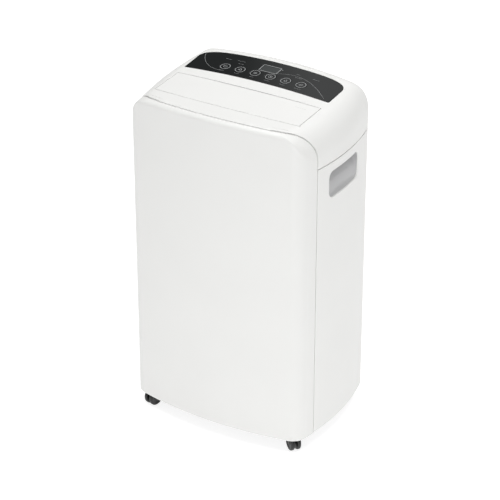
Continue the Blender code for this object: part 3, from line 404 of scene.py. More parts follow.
class Ends(Enum):
    """What happens at the first and last ring of a grid."""

    CAPPED = "capped"
    JOINED = "joined"


def rings_to_faces(rings: int, count: int, ends: Ends = Ends.CAPPED) -> list:
    """Return quads between successive closed rings of a grid.

    Args:
        rings: How many rings there are.
        count: How many points a ring has.
        ends: Whether the end rings get a face each, or the last ring joins the first.

    Returns:
        The faces as index tuples.
    """
    faces = []
    for row in range(rings if ends is Ends.JOINED else rings - 1):
        low, high = row * count, (row + 1) % rings * count
        for index in range(count):
            after = (index + 1) % count
            faces.append((low + index, low + after, high + after, high + index))
    if ends is Ends.CAPPED:
        faces.append(tuple(range(count))[::-1])
        faces.append(tuple(range((rings - 1) * count, rings * count)))
    return faces


def floored(faces: list, start: int, count: int) -> list:
    """Return faces with the ring-to-ring quads that begin at a vertex replaced by a floor on each ring."""
    kept = [face for face in faces if not start <= face[0] < start + count]
    middle = start + count
    return kept + [tuple(range(start, middle)), tuple(range(middle, middle + count))[::-1]]


def circle(sides: int) -> Array:
    """Return points evenly round the unit circle."""
    angles = np.linspace(0, 2 * math.pi, sides, endpoint=False)
    return np.column_stack([np.cos(angles), np.sin(angles)])


def lattice(across: Array, along: Array) -> Array:
    """Return every pairing of two sets of values, as points."""
    first, second = np.meshgrid(across, along)
    return np.column_stack([first.ravel(), second.ravel()])


def moved(points: Array, matrix: Matrix) -> Array:
    """Return points carried by a matrix."""
    return points @ np.array(matrix.to_3x3()).T + np.array(matrix.translation)


def tube(path: Array, section: Array, patch: Patch, closed: bool = False) -> None:
    """Sweep a section along a path; each section point is given as (side, up) at each path point."""
    path = np.asarray(path, float)
    ahead = np.roll(path, -1, 0) - np.roll(path, 1, 0)
    if not closed:
        ahead[0], ahead[-1] = path[1] - path[0], path[-1] - path[-2]
    ahead /= np.linalg.norm(ahead, axis=1)[:, None]
    up = np.tile((0.0, 0.0, 1.0), (len(path), 1))
    side = np.cross(ahead, up)
    side /= np.linalg.norm(side, axis=1)[:, None]
    grid = path[:, None] + section[None, :, :1] * side[:, None] + section[None, :, 1:] * up[:, None]
    count = len(section)
    patch.add(grid, rings_to_faces(len(path), count, Ends.JOINED if closed else Ends.CAPPED))


def turned(profile: Sequence[tuple], matrix: Matrix, patch: Patch, sides: int = 64) -> None:
    """Spin (radius, height) points about the matrix's Z axis; the ends are closed with flat caps."""
    angles = np.linspace(0, 2 * math.pi, sides, endpoint=False)
    profile = np.asarray(profile, float)
    radius, height = np.maximum(profile[:, :1], 1e-5), profile[:, 1:]
    grid = np.stack([radius * np.cos(angles), radius * np.sin(angles), height + 0 * angles], axis=-1)
    patch.add(moved(grid.reshape(-1, 3), matrix), rings_to_faces(len(profile), sides))


def rounded(low: tuple, high: tuple, radius: float, sides: tuple = (12, 12), arc: int = 8) -> Array:
    """Return a rectangle with quarter-circle corners, anticlockwise from its upper right corner.

    Args:
        low: The lowest corner.
        high: The highest corner.
        radius: The corners' radius.
        sides: How many steps the level and the upright sides have.
        arc: How many steps each corner has.

    Returns:
        The points; their number doesn't depend on the size, so that such loops can be lofted.
    """
    centre = (np.array(low) + high) / 2
    half = (np.array(high) - low) / 2 - radius
    signs = np.array([(1, 1), (-1, 1), (-1, -1), (1, -1)])
    points = []
    for turn, sign in enumerate(signs):
        angles = math.pi / 2 * (turn + np.linspace(0, 1, arc + 1))
        corner = centre + sign * half + radius * np.column_stack([np.cos(angles), np.sin(angles)])
        following = centre + signs[(turn + 1) % 4] * half
        first = following + radius * np.array([math.cos(angles[-1]), math.sin(angles[-1])])
        steps = sides[turn % 2]
        side = corner[-1] + (first - corner[-1]) * (np.arange(1, steps) / steps)[:, None]
        points += [corner, side]
    return np.concatenate(points)


def inside(points: Array, loops: Sequence[Array]) -> Array:
    """Return which points lie within the loops, counted by how many edges a ray crosses."""
    crossings = np.zeros(len(points), int)
    for loop in loops:
        start, stop = loop, np.roll(loop, -1, 0)
        x, y = points[:, :1], points[:, 1:]
        spans = (start[:, 1] > y) != (stop[:, 1] > y)
        rise = np.where(stop[:, 1] == start[:, 1], 1.0, stop[:, 1] - start[:, 1])
        reach = start[:, 0] + (y - start[:, 1]) * (stop[:, 0] - start[:, 0]) / rise
        crossings += (spans & (x < reach)).sum(axis=1)
    return crossings % 2 == 1


@dataclass
class Sheet:
    """A thin shell: a flat layout of loops and fill points, lifted onto a surface.

    Each edge of the layout is a set of nested loops. A point at distance s from the edge drops
    below the surface by r - sqrt(r*r - (r - s)*(r - s)), which rounds the edge to radius r.
    """

    lift: Callable[[Array], tuple]
    radius: float = 0.0009
    wall: float = 0.0024
    shares: tuple = (0.0, 0.06, 0.22, 0.5, 1.0)
    beyond: float = 0.0012
    flat: list = field(default_factory=list)
    tops: list = field(default_factory=list)
    unders: list = field(default_factory=list)
    edges: list = field(default_factory=list)
    borders: list = field(default_factory=list)
    limits: list = field(default_factory=list)
    count: int = 0

    def edge(self, loop: Callable[[float], "Array | tuple"], radius: float = 0.0,
             lean: "Callable[[Array], Array] | None" = None) -> None:
        """Add one edge.

        Args:
            loop: Returns the flat points of the loop at a distance inside the sheet's material, or
                a tuple of the flat points and their lifted places and normals.
            radius: The edge's rounding, or 0 for the sheet's own.
            lean: Returns how far the underside moves along Y at the border, for points on it.
        """
        radius = radius or self.radius
        reach = radius + self.beyond
        for distance in [share * radius for share in self.shares] + [reach]:
            made = loop(distance)
            points, lifted = made if isinstance(made, tuple) else (made, None)
            order = np.arange(self.count, self.count + len(points))
            if distance == 0:
                self.borders.append((order, points))
            short = max(radius - distance, 0.0)
            drop = radius - math.sqrt(radius ** 2 - short ** 2)
            shift = np.zeros(3)
            if lean is not None:
                shift = np.outer(lean(points), (0.0, 1.0, 0.0)) * (1 - distance / reach)
            self.store(points, drop, lifted, shift)
            self.edges.append(np.column_stack([order, np.roll(order, -1)]))
        self.limits.append(points)

    def store(self, points: Array, drop: float, lifted: "tuple | None", shift: "Array | float" = 0.0) -> None:
        """Keep flat points with the places of their top and underside."""
        place, normal = lifted if lifted is not None else self.lift(points)
        self.flat.append(points)
        self.tops.append(place - normal * drop)
        self.unders.append(place - normal * self.wall + shift)
        self.count += len(points)

    def fill(self, points: Array, lifted: "tuple | None" = None) -> None:
        """Add the given points where they lie inside every edge's innermost loop."""
        keep = inside(points, self.limits)
        chosen = None if lifted is None else (lifted[0][keep], lifted[1][keep])
        self.store(points[keep], 0.0, chosen)

    def build(self, patch: Patch) -> None:
        """Triangulate the layout, give it a wall and add it to a patch."""
        flat = np.concatenate(self.flat)
        edges = np.concatenate(self.edges).tolist()
        result = delaunay_2d_cdt([Vector(p) for p in flat.tolist()], edges, [], 0, 1e-8)
        origin = np.array([group[0] if group else -1 for group in result[3]])
        faces = origin[np.array([face for face in result[2] if len(face) == 3])]
        faces = faces[(faces >= 0).all(axis=1)]
        faces = faces[inside(flat[faces].mean(axis=1), [points for _, points in self.borders])]
        count = len(flat)
        blocks = [faces, faces[:, ::-1] + count]
        for order, _ in self.borders:
            after = np.roll(order, -1)
            blocks += [np.column_stack([order, after, after + count])]
            blocks += [np.column_stack([order, after + count, order + count])]
        patch.add(np.concatenate(self.tops + self.unders), np.concatenate(blocks).tolist())


# ---------------------------------------------------------------- the cabinet's skin


@dataclass
class Skin:
    """The cabinet's outer surface: bowed walls, rounded corners, deep shoulders and a dished deck."""

    width: float
    depth: float
    front_bow: float = 0.0252
    side_bow: float = 0.0204
    back_bow: float = 0.0149
    front_corner: float = 0.030
    rear_corner: float = 0.013
    deck: float = 0.5913
    deck_start: float = -0.118
    deck_slope: float = 0.02
    deck_curve: float = 0.24
    crown: float = 0.004
    crown_half: float = 0.136
    side: tuple = (0.038, 0.050)
    back: tuple = (0.034, 0.045)
    front: tuple = (0.010, 0.008)
    flat_corner: float = 0.020
    side_grow: float = 0.0
    detail: int = 8

    def __post_init__(self) -> None:
        """Work out the wall outline, the deck outline and the shoulder between them."""
        self.walls = self.outline(0.0, -self.side_grow, 0.0, self.front_corner, self.rear_corner)
        corner = self.flat_corner
        self.flats = self.outline(self.front[0], self.side[0], self.back[0], corner, corner)
        along = np.roll(self.walls, -1, 0) - np.roll(self.walls, 1, 0)
        facing = -along[:, 0] / np.hypot(*along.T)
        to_front = np.clip(-facing, 0, 1) ** 2
        to_back = np.clip(facing, 0, 1) ** 2
        to_side = 1 - to_front - to_back
        self.drops = to_front * self.front[1] + to_side * self.side[1] + to_back * self.back[1]
        step = np.hypot(*(np.roll(self.walls, -1, 0) - self.walls).T)
        self.girth = float(step.sum())
        self.lengths = np.concatenate([[0.0], np.cumsum(step)[:-1]])
        self.count = len(self.walls)

    def radii(self) -> tuple:
        """Return the front, side and back arcs' radii: (half chord squared + bow squared) / 2 bow."""
        chords = ((self.width, self.front_bow), (self.depth, self.side_bow), (self.width, self.back_bow))
        return tuple(((chord / 2) ** 2 + bow ** 2) / (2 * bow) for chord, bow in chords)

    def outline(self, front: float, side: float, back: float, low_corner: float, high_corner: float) -> Array:
        """Return the plan outline, inset by the given amounts, anticlockwise from the front centre."""
        radius = self.radii()
        centres = (np.array([0.0, -self.depth / 2 + radius[0]]), np.array([self.width / 2 - radius[1], 0.0]),
                   np.array([0.0, self.depth / 2 - radius[2]]))
        front_r, side_r, back_r = radius[0] - front, radius[1] - side, radius[2] - back
        low = self.meeting(centres[0], front_r - low_corner, centres[1], side_r - low_corner, -1)
        high = self.meeting(centres[2], back_r - high_corner, centres[1], side_r - high_corner, 1)

        def out(centre: Array, point: Array, size: float) -> Array:
            """Return where the ray from a centre through a point reaches a radius."""
            away = point - centre
            return centre + away / np.hypot(*away) * size

        front_mid, back_mid = centres[0] - (0, front_r), centres[2] + (0, back_r)
        low_front, low_side = out(centres[0], low, front_r), out(centres[1], low, side_r)
        high_side, high_back = out(centres[1], high, side_r), out(centres[2], high, back_r)
        stretches = ((centres[0], front_mid, low_front, 5), (low, low_front, low_side, 4),
                     (centres[1], low_side, high_side, 4), (high, high_side, high_back, 3),
                     (centres[2], high_back, back_mid, 4))
        half = [self.arc(*stretch) for stretch in stretches] + [back_mid[None]]
        half = np.concatenate(half)
        return np.concatenate([half, half[-2:0:-1] * (-1, 1)])

    @staticmethod
    def meeting(first: Array, first_radius: float, second: Array, second_radius: float, way: int) -> Array:
        """Return where two circles meet, on the +Y side for way 1 and the -Y side for -1."""
        across = second - first
        span = np.hypot(*across)
        along = (span ** 2 + first_radius ** 2 - second_radius ** 2) / (2 * span)
        rise = math.sqrt(first_radius ** 2 - along ** 2)
        unit = across / span
        side = np.array([-unit[1], unit[0]]) * rise
        choices = sorted((first + unit * along + side, first + unit * along - side), key=lambda p: p[1])
        return choices[-1] if way > 0 else choices[0]

    def arc(self, centre: Array, start: Array, stop: Array, segments: int) -> Array:
        """Return an arc's points about a centre, the last one left out."""
        count = segments * self.detail
        begin = math.atan2(start[1] - centre[1], start[0] - centre[0])
        end = math.atan2(stop[1] - centre[1], stop[0] - centre[0])
        sweep = (end - begin + math.pi) % (2 * math.pi) - math.pi
        angles = begin + sweep * np.arange(count) / count
        return centre + np.hypot(*(start - centre)) * np.column_stack([np.cos(angles), np.sin(angles)])

    def deck_height(self, x: Array, y: Array) -> Array:
        """Return the deck's height: a parabola along Y less a parabola across X."""
        run = y - self.deck_start
        rise = self.deck_slope * run + self.deck_curve * run ** 2
        return self.deck + rise - self.crown * (x / self.crown_half) ** 2

    def look_up(self, table: Array, turn: Array) -> Array:
        """Read a per-outline-point table at fractional places round the outline."""
        turn = np.asarray(turn, float)
        low = np.floor(turn).astype(int)
        part = turn - low
        if table.ndim > 1:
            part = part[..., None]
        return table[low % self.count] * (1 - part) + table[(low + 1) % self.count] * part

    def meridian(self, turn: Array) -> tuple:
        """Return the deck edge, wall, drop, shoulder length and wall top at places on the outline."""
        wall, flat = self.look_up(self.walls, turn), self.look_up(self.flats, turn)
        drop = self.look_up(self.drops, turn)
        reach = np.hypot(*(wall - flat).T)
        length = math.pi / 4 * (1.5 * (reach + drop) - np.sqrt(reach * drop)) * 0.98
        top = self.deck_height(*wall.T) - drop
        return flat, wall, drop, reach, length, top

    def point(self, turn: Array, run: Array) -> Array:
        """Return points at a run outwards from the deck's edge: over the shoulder, then down the wall.

        Over the shoulder the plan place is flat + (wall - flat) * cos(a) and the height is
        deck - drop * (1 - sin(a)), with a falling from 90 degrees at the deck to 0 at the wall.
        """
        turn, run = np.broadcast_arrays(np.asarray(turn, float), np.asarray(run, float))
        flat, wall, drop, reach, length, top = self.meridian(turn)
        angle = math.pi / 2 * (1 - np.clip(run / length, 0, 1))
        ahead = (wall - flat) / reach[:, None]
        plan = flat + (wall - flat) * np.cos(angle)[:, None] + ahead * np.minimum(run, 0)[:, None]
        height = self.deck_height(*plan.T) - drop * (1 - np.sin(angle)) - np.maximum(run - length, 0)
        return np.column_stack([plan, height])

    def normal(self, turn: Array, run: Array) -> Array:
        """Return outward normals, from the cross product of two small steps."""
        around = self.point(turn + 0.5, run) - self.point(turn - 0.5, run)
        down = self.point(turn, run + 2e-4) - self.point(turn, run - 2e-4)
        cross = np.cross(down, around)
        return cross / np.linalg.norm(cross, axis=1)[:, None]

    def unrolled(self, turn: Array, run: Array) -> Array:
        """Return the flat layout of points round the deck: the deck edge plus the run outwards."""
        flat, wall, _, reach, _, _ = self.meridian(turn)
        return flat + (wall - flat) / reach[:, None] * run[:, None]

    def on_deck(self, points: Array) -> tuple:
        """Lift plan points onto the deck."""
        x, y = points.T
        slope_x = -2 * self.crown * x / self.crown_half ** 2
        slope_y = self.deck_slope + 2 * self.deck_curve * (y - self.deck_start)
        normal = np.column_stack([-slope_x, -slope_y, np.ones(len(x))])
        place = np.column_stack([x, y, self.deck_height(x, y)])
        return place, normal / np.linalg.norm(normal, axis=1)[:, None]

    def on_wall(self, points: Array) -> tuple:
        """Lift (girth, height) points onto the upright wall."""
        turn = self.turn_at(points[:, 0])
        plan = self.look_up(self.walls, turn)
        along = self.look_up(self.walls, turn + 0.5) - self.look_up(self.walls, turn - 0.5)
        normal = np.column_stack([along[:, 1], -along[:, 0], np.zeros(len(turn))])
        place = np.column_stack([plan, points[:, 1]])
        return place, normal / np.linalg.norm(normal, axis=1)[:, None]

    def turn_at(self, girth: Array) -> Array:
        """Return the fractional outline index at a distance round the wall."""
        places = np.append(self.lengths, self.girth)
        return np.interp(np.asarray(girth) % self.girth, places, np.arange(self.count + 1))

    def girth_at(self, turn: Array) -> Array:
        """Return the distance round the wall at places on the outline; it is odd about the front centre."""
        places = np.append(self.lengths, self.girth)
        return np.sign(turn) * np.interp(np.abs(turn), np.arange(self.count + 1), places)

    def girth_where(self, axis: int, value: "float | Array", right: bool,
                    back: bool = False) -> "float | Array":
        """Return the distance round the wall where a coordinate takes a value on one side.

        Args:
            axis: 0 to look for X along the back, 1 to look for Y along a side.
            value: The coordinate looked for.
            right: Whether to look on the +X side.
            back: Whether to look along the back instead of a side.

        Returns:
            The distance from the front centre, anticlockwise.
        """
        table = self.walls[:, axis]
        half = self.count // 2
        if back:
            quarter = np.arange(half * 2 // 3, self.count - half * 2 // 3)
        else:
            quarter = np.arange(0, half + 1) if right else np.arange(half, self.count)
        order = quarter[np.argsort(table[quarter])]
        return np.interp(value, table[order], self.lengths[order])

    def back_layout(self, ring: Array) -> Array:
        """Return the wall layout of points given as X and Z on the back."""
        return np.column_stack([self.girth_where(0, ring[:, 0], True, True), ring[:, 1]])


@dataclass
class Seam:
    """The front panel's seam: upright on each side, then a quarter ellipse over to a top lip."""

    skin: Skin
    side_y: float = -0.069
    curve_z: float = 0.531
    curve: tuple = (0.039, 0.0575)
    lip: float = 0.0113
    gap: float = 0.0008

    def distance(self, places: Array) -> Array:
        """Return the signed distance behind the seam, negative inside the front panel.

        It is the smaller of the distance to the side profile (upright, then an ellipse) and the
        distance behind the lip, which runs parallel to the bowed front.
        """
        x, y, z = places.T
        middle = self.side_y - self.curve[0]
        dy, dz = (y - middle) / self.curve[0], np.maximum(z - self.curve_z, 0) / self.curve[1]
        level = np.sqrt(np.maximum(dy, 0) ** 2 + dz ** 2) + 1e-9
        slope = np.sqrt((dy / self.curve[0]) ** 2 + (dz / self.curve[1]) ** 2) / level
        profile = np.where(z < self.curve_z, y - self.side_y, (level - 1) / np.maximum(slope, 1.0))
        radius = self.skin.radii()[0]
        centre = -self.skin.depth / 2 + radius
        behind = radius - self.lip - np.hypot(x, y - centre)
        return np.minimum(profile, behind)

    def crossing(self, level: float) -> tuple:
        """Return where each meridian of the front crosses a level, from right to left.

        Args:
            level: The signed distance behind the seam.

        Returns:
            The places round the outline and the runs outwards from the deck's edge.
        """
        half = self.skin.count // 2
        edge = float(self.skin.turn_at(self.skin.girth_where(1, self.side_y + level, True)))
        near = np.interp(self.side_y + level - self.curve[0] * (1 - np.cos(np.linspace(0.08, 1.1, 22))),
                         self.skin.walls[:half, 1], np.arange(half))
        turns = np.unique(np.concatenate([near, np.arange(0, edge - 0.3, 2)]))[::-1]
        turns = np.concatenate([turns, -turns[::-1][1:]])
        runs = np.linspace(0.14, -0.03, 341)
        grid = self.skin.point(np.repeat(turns, len(runs)), np.tile(runs, len(turns)))
        value = self.distance(grid).reshape(len(turns), -1) - level
        first = np.argmax(value > 0, axis=1)
        row = np.arange(len(turns))
        before, after = value[row, first - 1], value[row, first]
        part = before / (before - after)
        return turns, runs[first - 1] + part * (runs[first] - runs[first - 1]), edge


# ---------------------------------------------------------------- the shells


@dataclass
class Shells:
    """The three big mouldings: front panel, rear casing and top cover."""

    skin: Skin
    panel_skin: Skin
    skirt: float = 0.026
    casing_foot: float = 0.028
    cover_seam: float = 0.5194
    half_seam: float = 0.0006
    recess: tuple = ((-0.038, 0.456), (0.060, 0.503))
    recess_corner: float = 0.012
    intake: tuple = ((-0.124, 0.318), (0.124, 0.500))
    tank: tuple = ((-0.1396, 0.0514), (0.1396, 0.2916))
    drain: tuple = (-0.110, 0.3065, 0.0082)
    gland: tuple = (0.110, 0.3065, 0.0074)
    upright: float = 0.008
    panel_edge: float = 0.0019
    tongue_size: tuple = (0.003, 0.0026, 0.0034)
    tongue_count: int = 900

    def build(self) -> None:
        """Make and dress the three mouldings."""
        makers = {"front_panel": self.panel, "rear_casing": self.casing, "top_cover": self.cover}
        for name, maker in makers.items():
            dress(maker(), "white_shell", "cabinet", name)

    def over(self, skin: Skin, turn: Array, run: Array) -> tuple:
        """Return the places and normals of points given round and out from the deck's edge."""
        return skin.point(turn, run), skin.normal(turn, run)

    def down_to(self, skin: Skin, turn: Array, height: "float | Array") -> Array:
        """Return the run that reaches a height on the wall."""
        _, _, _, _, length, top = skin.meridian(turn)
        return length + top - height

    def panel(self) -> bpy.types.Object:
        """The front panel: wall, rounded corners and the lip over the top edge.

        Its layout is the distance round the wall against the run, and its loops follow the skirt,
        the upright seams and the level set of the seam's distance.
        """
        skin, seam = self.panel_skin, Seam(self.panel_skin)

        def flat(turn: Array, run: Array) -> Array:
            """Return the layout place of a point on the skin."""
            return np.column_stack([skin.girth_at(turn), -run])

        def loop(distance: float) -> tuple:
            """Return the loop at a distance inside the panel's edge."""
            turns, runs, edge = seam.crossing(-seam.gap - distance)
            low, high = self.skirt + max(distance, 0.0), seam.curve_z
            base = np.linspace(-edge, edge, 241)[:-1]
            rise = np.linspace(low, high, 60)[:-1]
            turn = np.concatenate([base, np.full(59, edge), turns, np.full(59, -edge)])
            height = np.concatenate([np.full(240, low), rise, np.zeros(len(turns)), rise[::-1]])
            run = self.down_to(skin, turn, height)
            run[299:299 + len(turns)] = runs
            return flat(turn, run), self.over(skin, turn, run)

        sheet = Sheet(skin.on_wall, self.panel_edge)
        sheet.edge(loop)
        runs = np.concatenate([np.arange(-0.002, 0.09, 0.002), np.arange(0.09, 0.6, self.upright)])
        turn, run = lattice(np.arange(-90.0, 91.0), runs).T
        sheet.fill(flat(turn, run), self.over(skin, turn, run))
        patch = Patch()
        sheet.build(patch)
        self.tongue(patch, loop)
        return patch.piece("front_panel_shell", Finish.SHELL)

    def tongue(self, patch: Patch, loop: Callable[[float], tuple]) -> None:
        """Add the band behind the panel's seam, which the casing and cover close against.

        Its section is a thin rectangle swept round the panel's edge, just inside the walls.
        """
        half, near, far = self.tongue_size
        rings = []
        for distance, depth in ((-half, near), (half, near), (half, far), (-half, far)):
            place, normal = loop(distance)[1]
            rings.append(even_loop(place - normal * depth, self.tongue_count))
        patch.add(np.concatenate(rings), rings_to_faces(4, self.tongue_count, Ends.JOINED))

    def casing(self) -> bpy.types.Object:
        """The rear casing: sides and back, with openings for the cups, intake, tank, drain and cord."""
        skin, seam = self.skin, Seam(self.skin)
        sheet = Sheet(skin.on_wall)

        def outer(distance: float) -> Array:
            """Return the loop along both seams, the foot and the cover's seam."""
            start = skin.girth_where(1, seam.side_y + seam.gap + distance, True)
            low, high = self.casing_foot + distance, self.cover_seam - self.half_seam - distance
            around = np.linspace(start, skin.girth - start, 241)[:-1]
            rise = np.linspace(low, high, 61)[:-1]
            back_round = around[::-1] + (around[1] - around[0])
            back_down = rise[::-1] + (rise[1] - rise[0])
            return np.concatenate([np.column_stack([around, np.full(240, low)]),
                                   np.column_stack([np.full(60, skin.girth - start), rise]),
                                   np.column_stack([back_round, np.full(240, high)]),
                                   np.column_stack([np.full(60, start), back_down])])

        def side_hole(right: bool) -> Callable[[float], Array]:
            """Return the loops round one carrying recess."""
            def loop(distance: float) -> Array:
                """Return the recess outline grown into the casing."""
                low, high = np.array(self.recess[0]) - distance, np.array(self.recess[1]) + distance
                ring = rounded(low, high, self.recess_corner + distance, (20, 8), 10)
                return np.column_stack([skin.girth_where(1, ring[:, 0], right), ring[:, 1]])
            return loop

        def back_hole(ring: Callable[[float], Array]) -> Callable[[float], Array]:
            """Return the loops round an opening in the back, given as X and Z."""
            return lambda distance: skin.back_layout(ring(distance))

        def bore(spec: tuple) -> Callable[[float], Array]:
            """Return the loops round a round hole."""
            return lambda distance: np.array(spec[:2]) + (spec[2] + distance) * circle(48)

        def square(spec: tuple, radius: float) -> Callable[[float], Array]:
            """Return the loops round a rounded rectangle."""
            return lambda distance: rounded(np.array(spec[0]) - distance, np.array(spec[1]) + distance,
                                            radius + distance, (50, 40), 8)

        sheet.edge(outer)
        for right in (True, False):
            sheet.edge(side_hole(right), 0.0012)
        openings = (square(self.intake, 0.010), square(self.tank, 0.008), bore(self.drain), bore(self.gland))
        for ring in openings:
            sheet.edge(back_hole(ring), 0.0007)
        sheet.fill(lattice(skin.lengths[40:-40], np.arange(0.03, 0.52, self.upright)))
        patch = Patch()
        sheet.build(patch)
        return patch.piece("rear_casing_shell", Finish.SHELL)

    def cover(self) -> bpy.types.Object:
        """The top cover: deck and shoulders, with the lens pocket and the outlet's throat.

        Its layout is the plan on the deck and, past the deck's edge, the run over the shoulder.
        """
        skin, seam = self.skin, Seam(self.skin)
        sheet = Sheet(skin.on_deck)

        def loop(distance: float) -> tuple:
            """Return the loop along the casing's seam and the front panel's seam."""
            turns, runs, edge = seam.crossing(seam.gap + distance)
            low, high = self.cover_seam + self.half_seam + distance, seam.curve_z
            around = np.arange(edge, skin.count - edge, 1.0)
            rise = np.linspace(low, high, 5)[:-1]
            turn = np.concatenate([around, np.full(4, skin.count - edge), turns[::-1], np.full(4, edge)])
            back_down = rise[::-1] + (rise[1] - rise[0])
            height = np.concatenate([np.full(len(around), low), rise, np.zeros(len(turns)), back_down])
            run = self.down_to(skin, turn, height)
            run[len(around) + 4:len(around) + 4 + len(turns)] = runs[::-1]
            return skin.unrolled(turn, run), self.over(skin, turn, run)

        lens, flap = ControlLens(skin), OutletFlap(skin)
        sheet.edge(loop)
        sheet.edge(lambda distance: lens.outline(lens.gap + distance), 0.0005)
        sheet.edge(lambda distance: flap.outline(flap.gap + distance), 0.0006, flap.lean)
        turn, run = lattice(np.arange(0.0, skin.count), np.arange(0.0, 0.14, 0.003)).T
        sheet.fill(skin.unrolled(turn, run), self.over(skin, turn, run))
        deck = lattice(np.arange(-0.15, 0.15, 0.005), np.arange(-0.13, 0.12, 0.005))
        sheet.fill(deck[inside(deck, [skin.flats * 0.985])])
        patch = Patch()
        sheet.build(patch)
        flap.throat(patch)
        return patch.piece("top_cover_shell", Finish.SHELL)


def even_loop(points: Array, count: int) -> Array:
    """Return a closed loop resampled at even steps of its length, from the same start."""
    closed = np.vstack([points, points[:1]])
    length = np.concatenate([[0.0], np.cumsum(np.linalg.norm(np.diff(closed, axis=0), axis=1))])
    where = np.linspace(0, length[-1], count, endpoint=False)
    return np.column_stack([np.interp(where, length, closed[:, k]) for k in range(3)])


def strip(front: Callable, back: Callable, half: float, columns: int, rows: int) -> Array:
    """Return an anticlockwise loop between a front and a back edge given as functions of x.

    Args:
        front: The front edge's Y for an array of X.
        back: The back edge's Y for an array of X.
        half: Half the loop's width.
        columns: How many steps it has along X.
        rows: How many steps it has along each end.

    Returns:
        The loop's plan points, the same number at every size.
    """
    x = half * np.sin(np.linspace(-math.pi / 2, math.pi / 2, columns + 1))
    share = np.linspace(0, 1, rows + 1)[1:-1]
    low, high = float(front(np.array(half))), float(back(np.array(half)))
    rise = low + (high - low) * share
    return np.concatenate([np.column_stack([x, front(x)]), np.column_stack([np.full(rows - 1, half), rise]),
                           np.column_stack([x[::-1], back(x[::-1])]),
                           np.column_stack([np.full(rows - 1, -half), rise[::-1]])])


def corner_cut(x: Array, half: float, radius: float) -> Array:
    """Return how far a strip's round corner has turned in at x: r - sqrt(r*r - past*past)."""
    past = np.maximum(np.abs(x) - (half - radius), 0.0)
    return radius - np.sqrt(np.maximum(radius ** 2 - past ** 2, 0.0))


def bezier(first: tuple, second: tuple, third: tuple, last: tuple, count: int = 40) -> Array:
    """Return a cubic curve: the four points weighted by (1-t)^3, 3t(1-t)^2, 3t^2(1-t) and t^3."""
    t = np.linspace(0, 1, count)[:, None]
    ends = (1 - t) ** 3 * np.array(first) + t ** 3 * np.array(last)
    return ends + 3 * t * (1 - t) ** 2 * np.array(second) + 3 * t ** 2 * (1 - t) * np.array(third)


def dress(made: bpy.types.Object, slot: str, body: str, *nodes: str) -> bpy.types.Object:
    """Put a piece on its body and hide the solids it stands for."""
    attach(made, body)
    if nodes:
        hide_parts(*nodes)
    LOG.info("%s rides on %s", made.name, body)
    return made


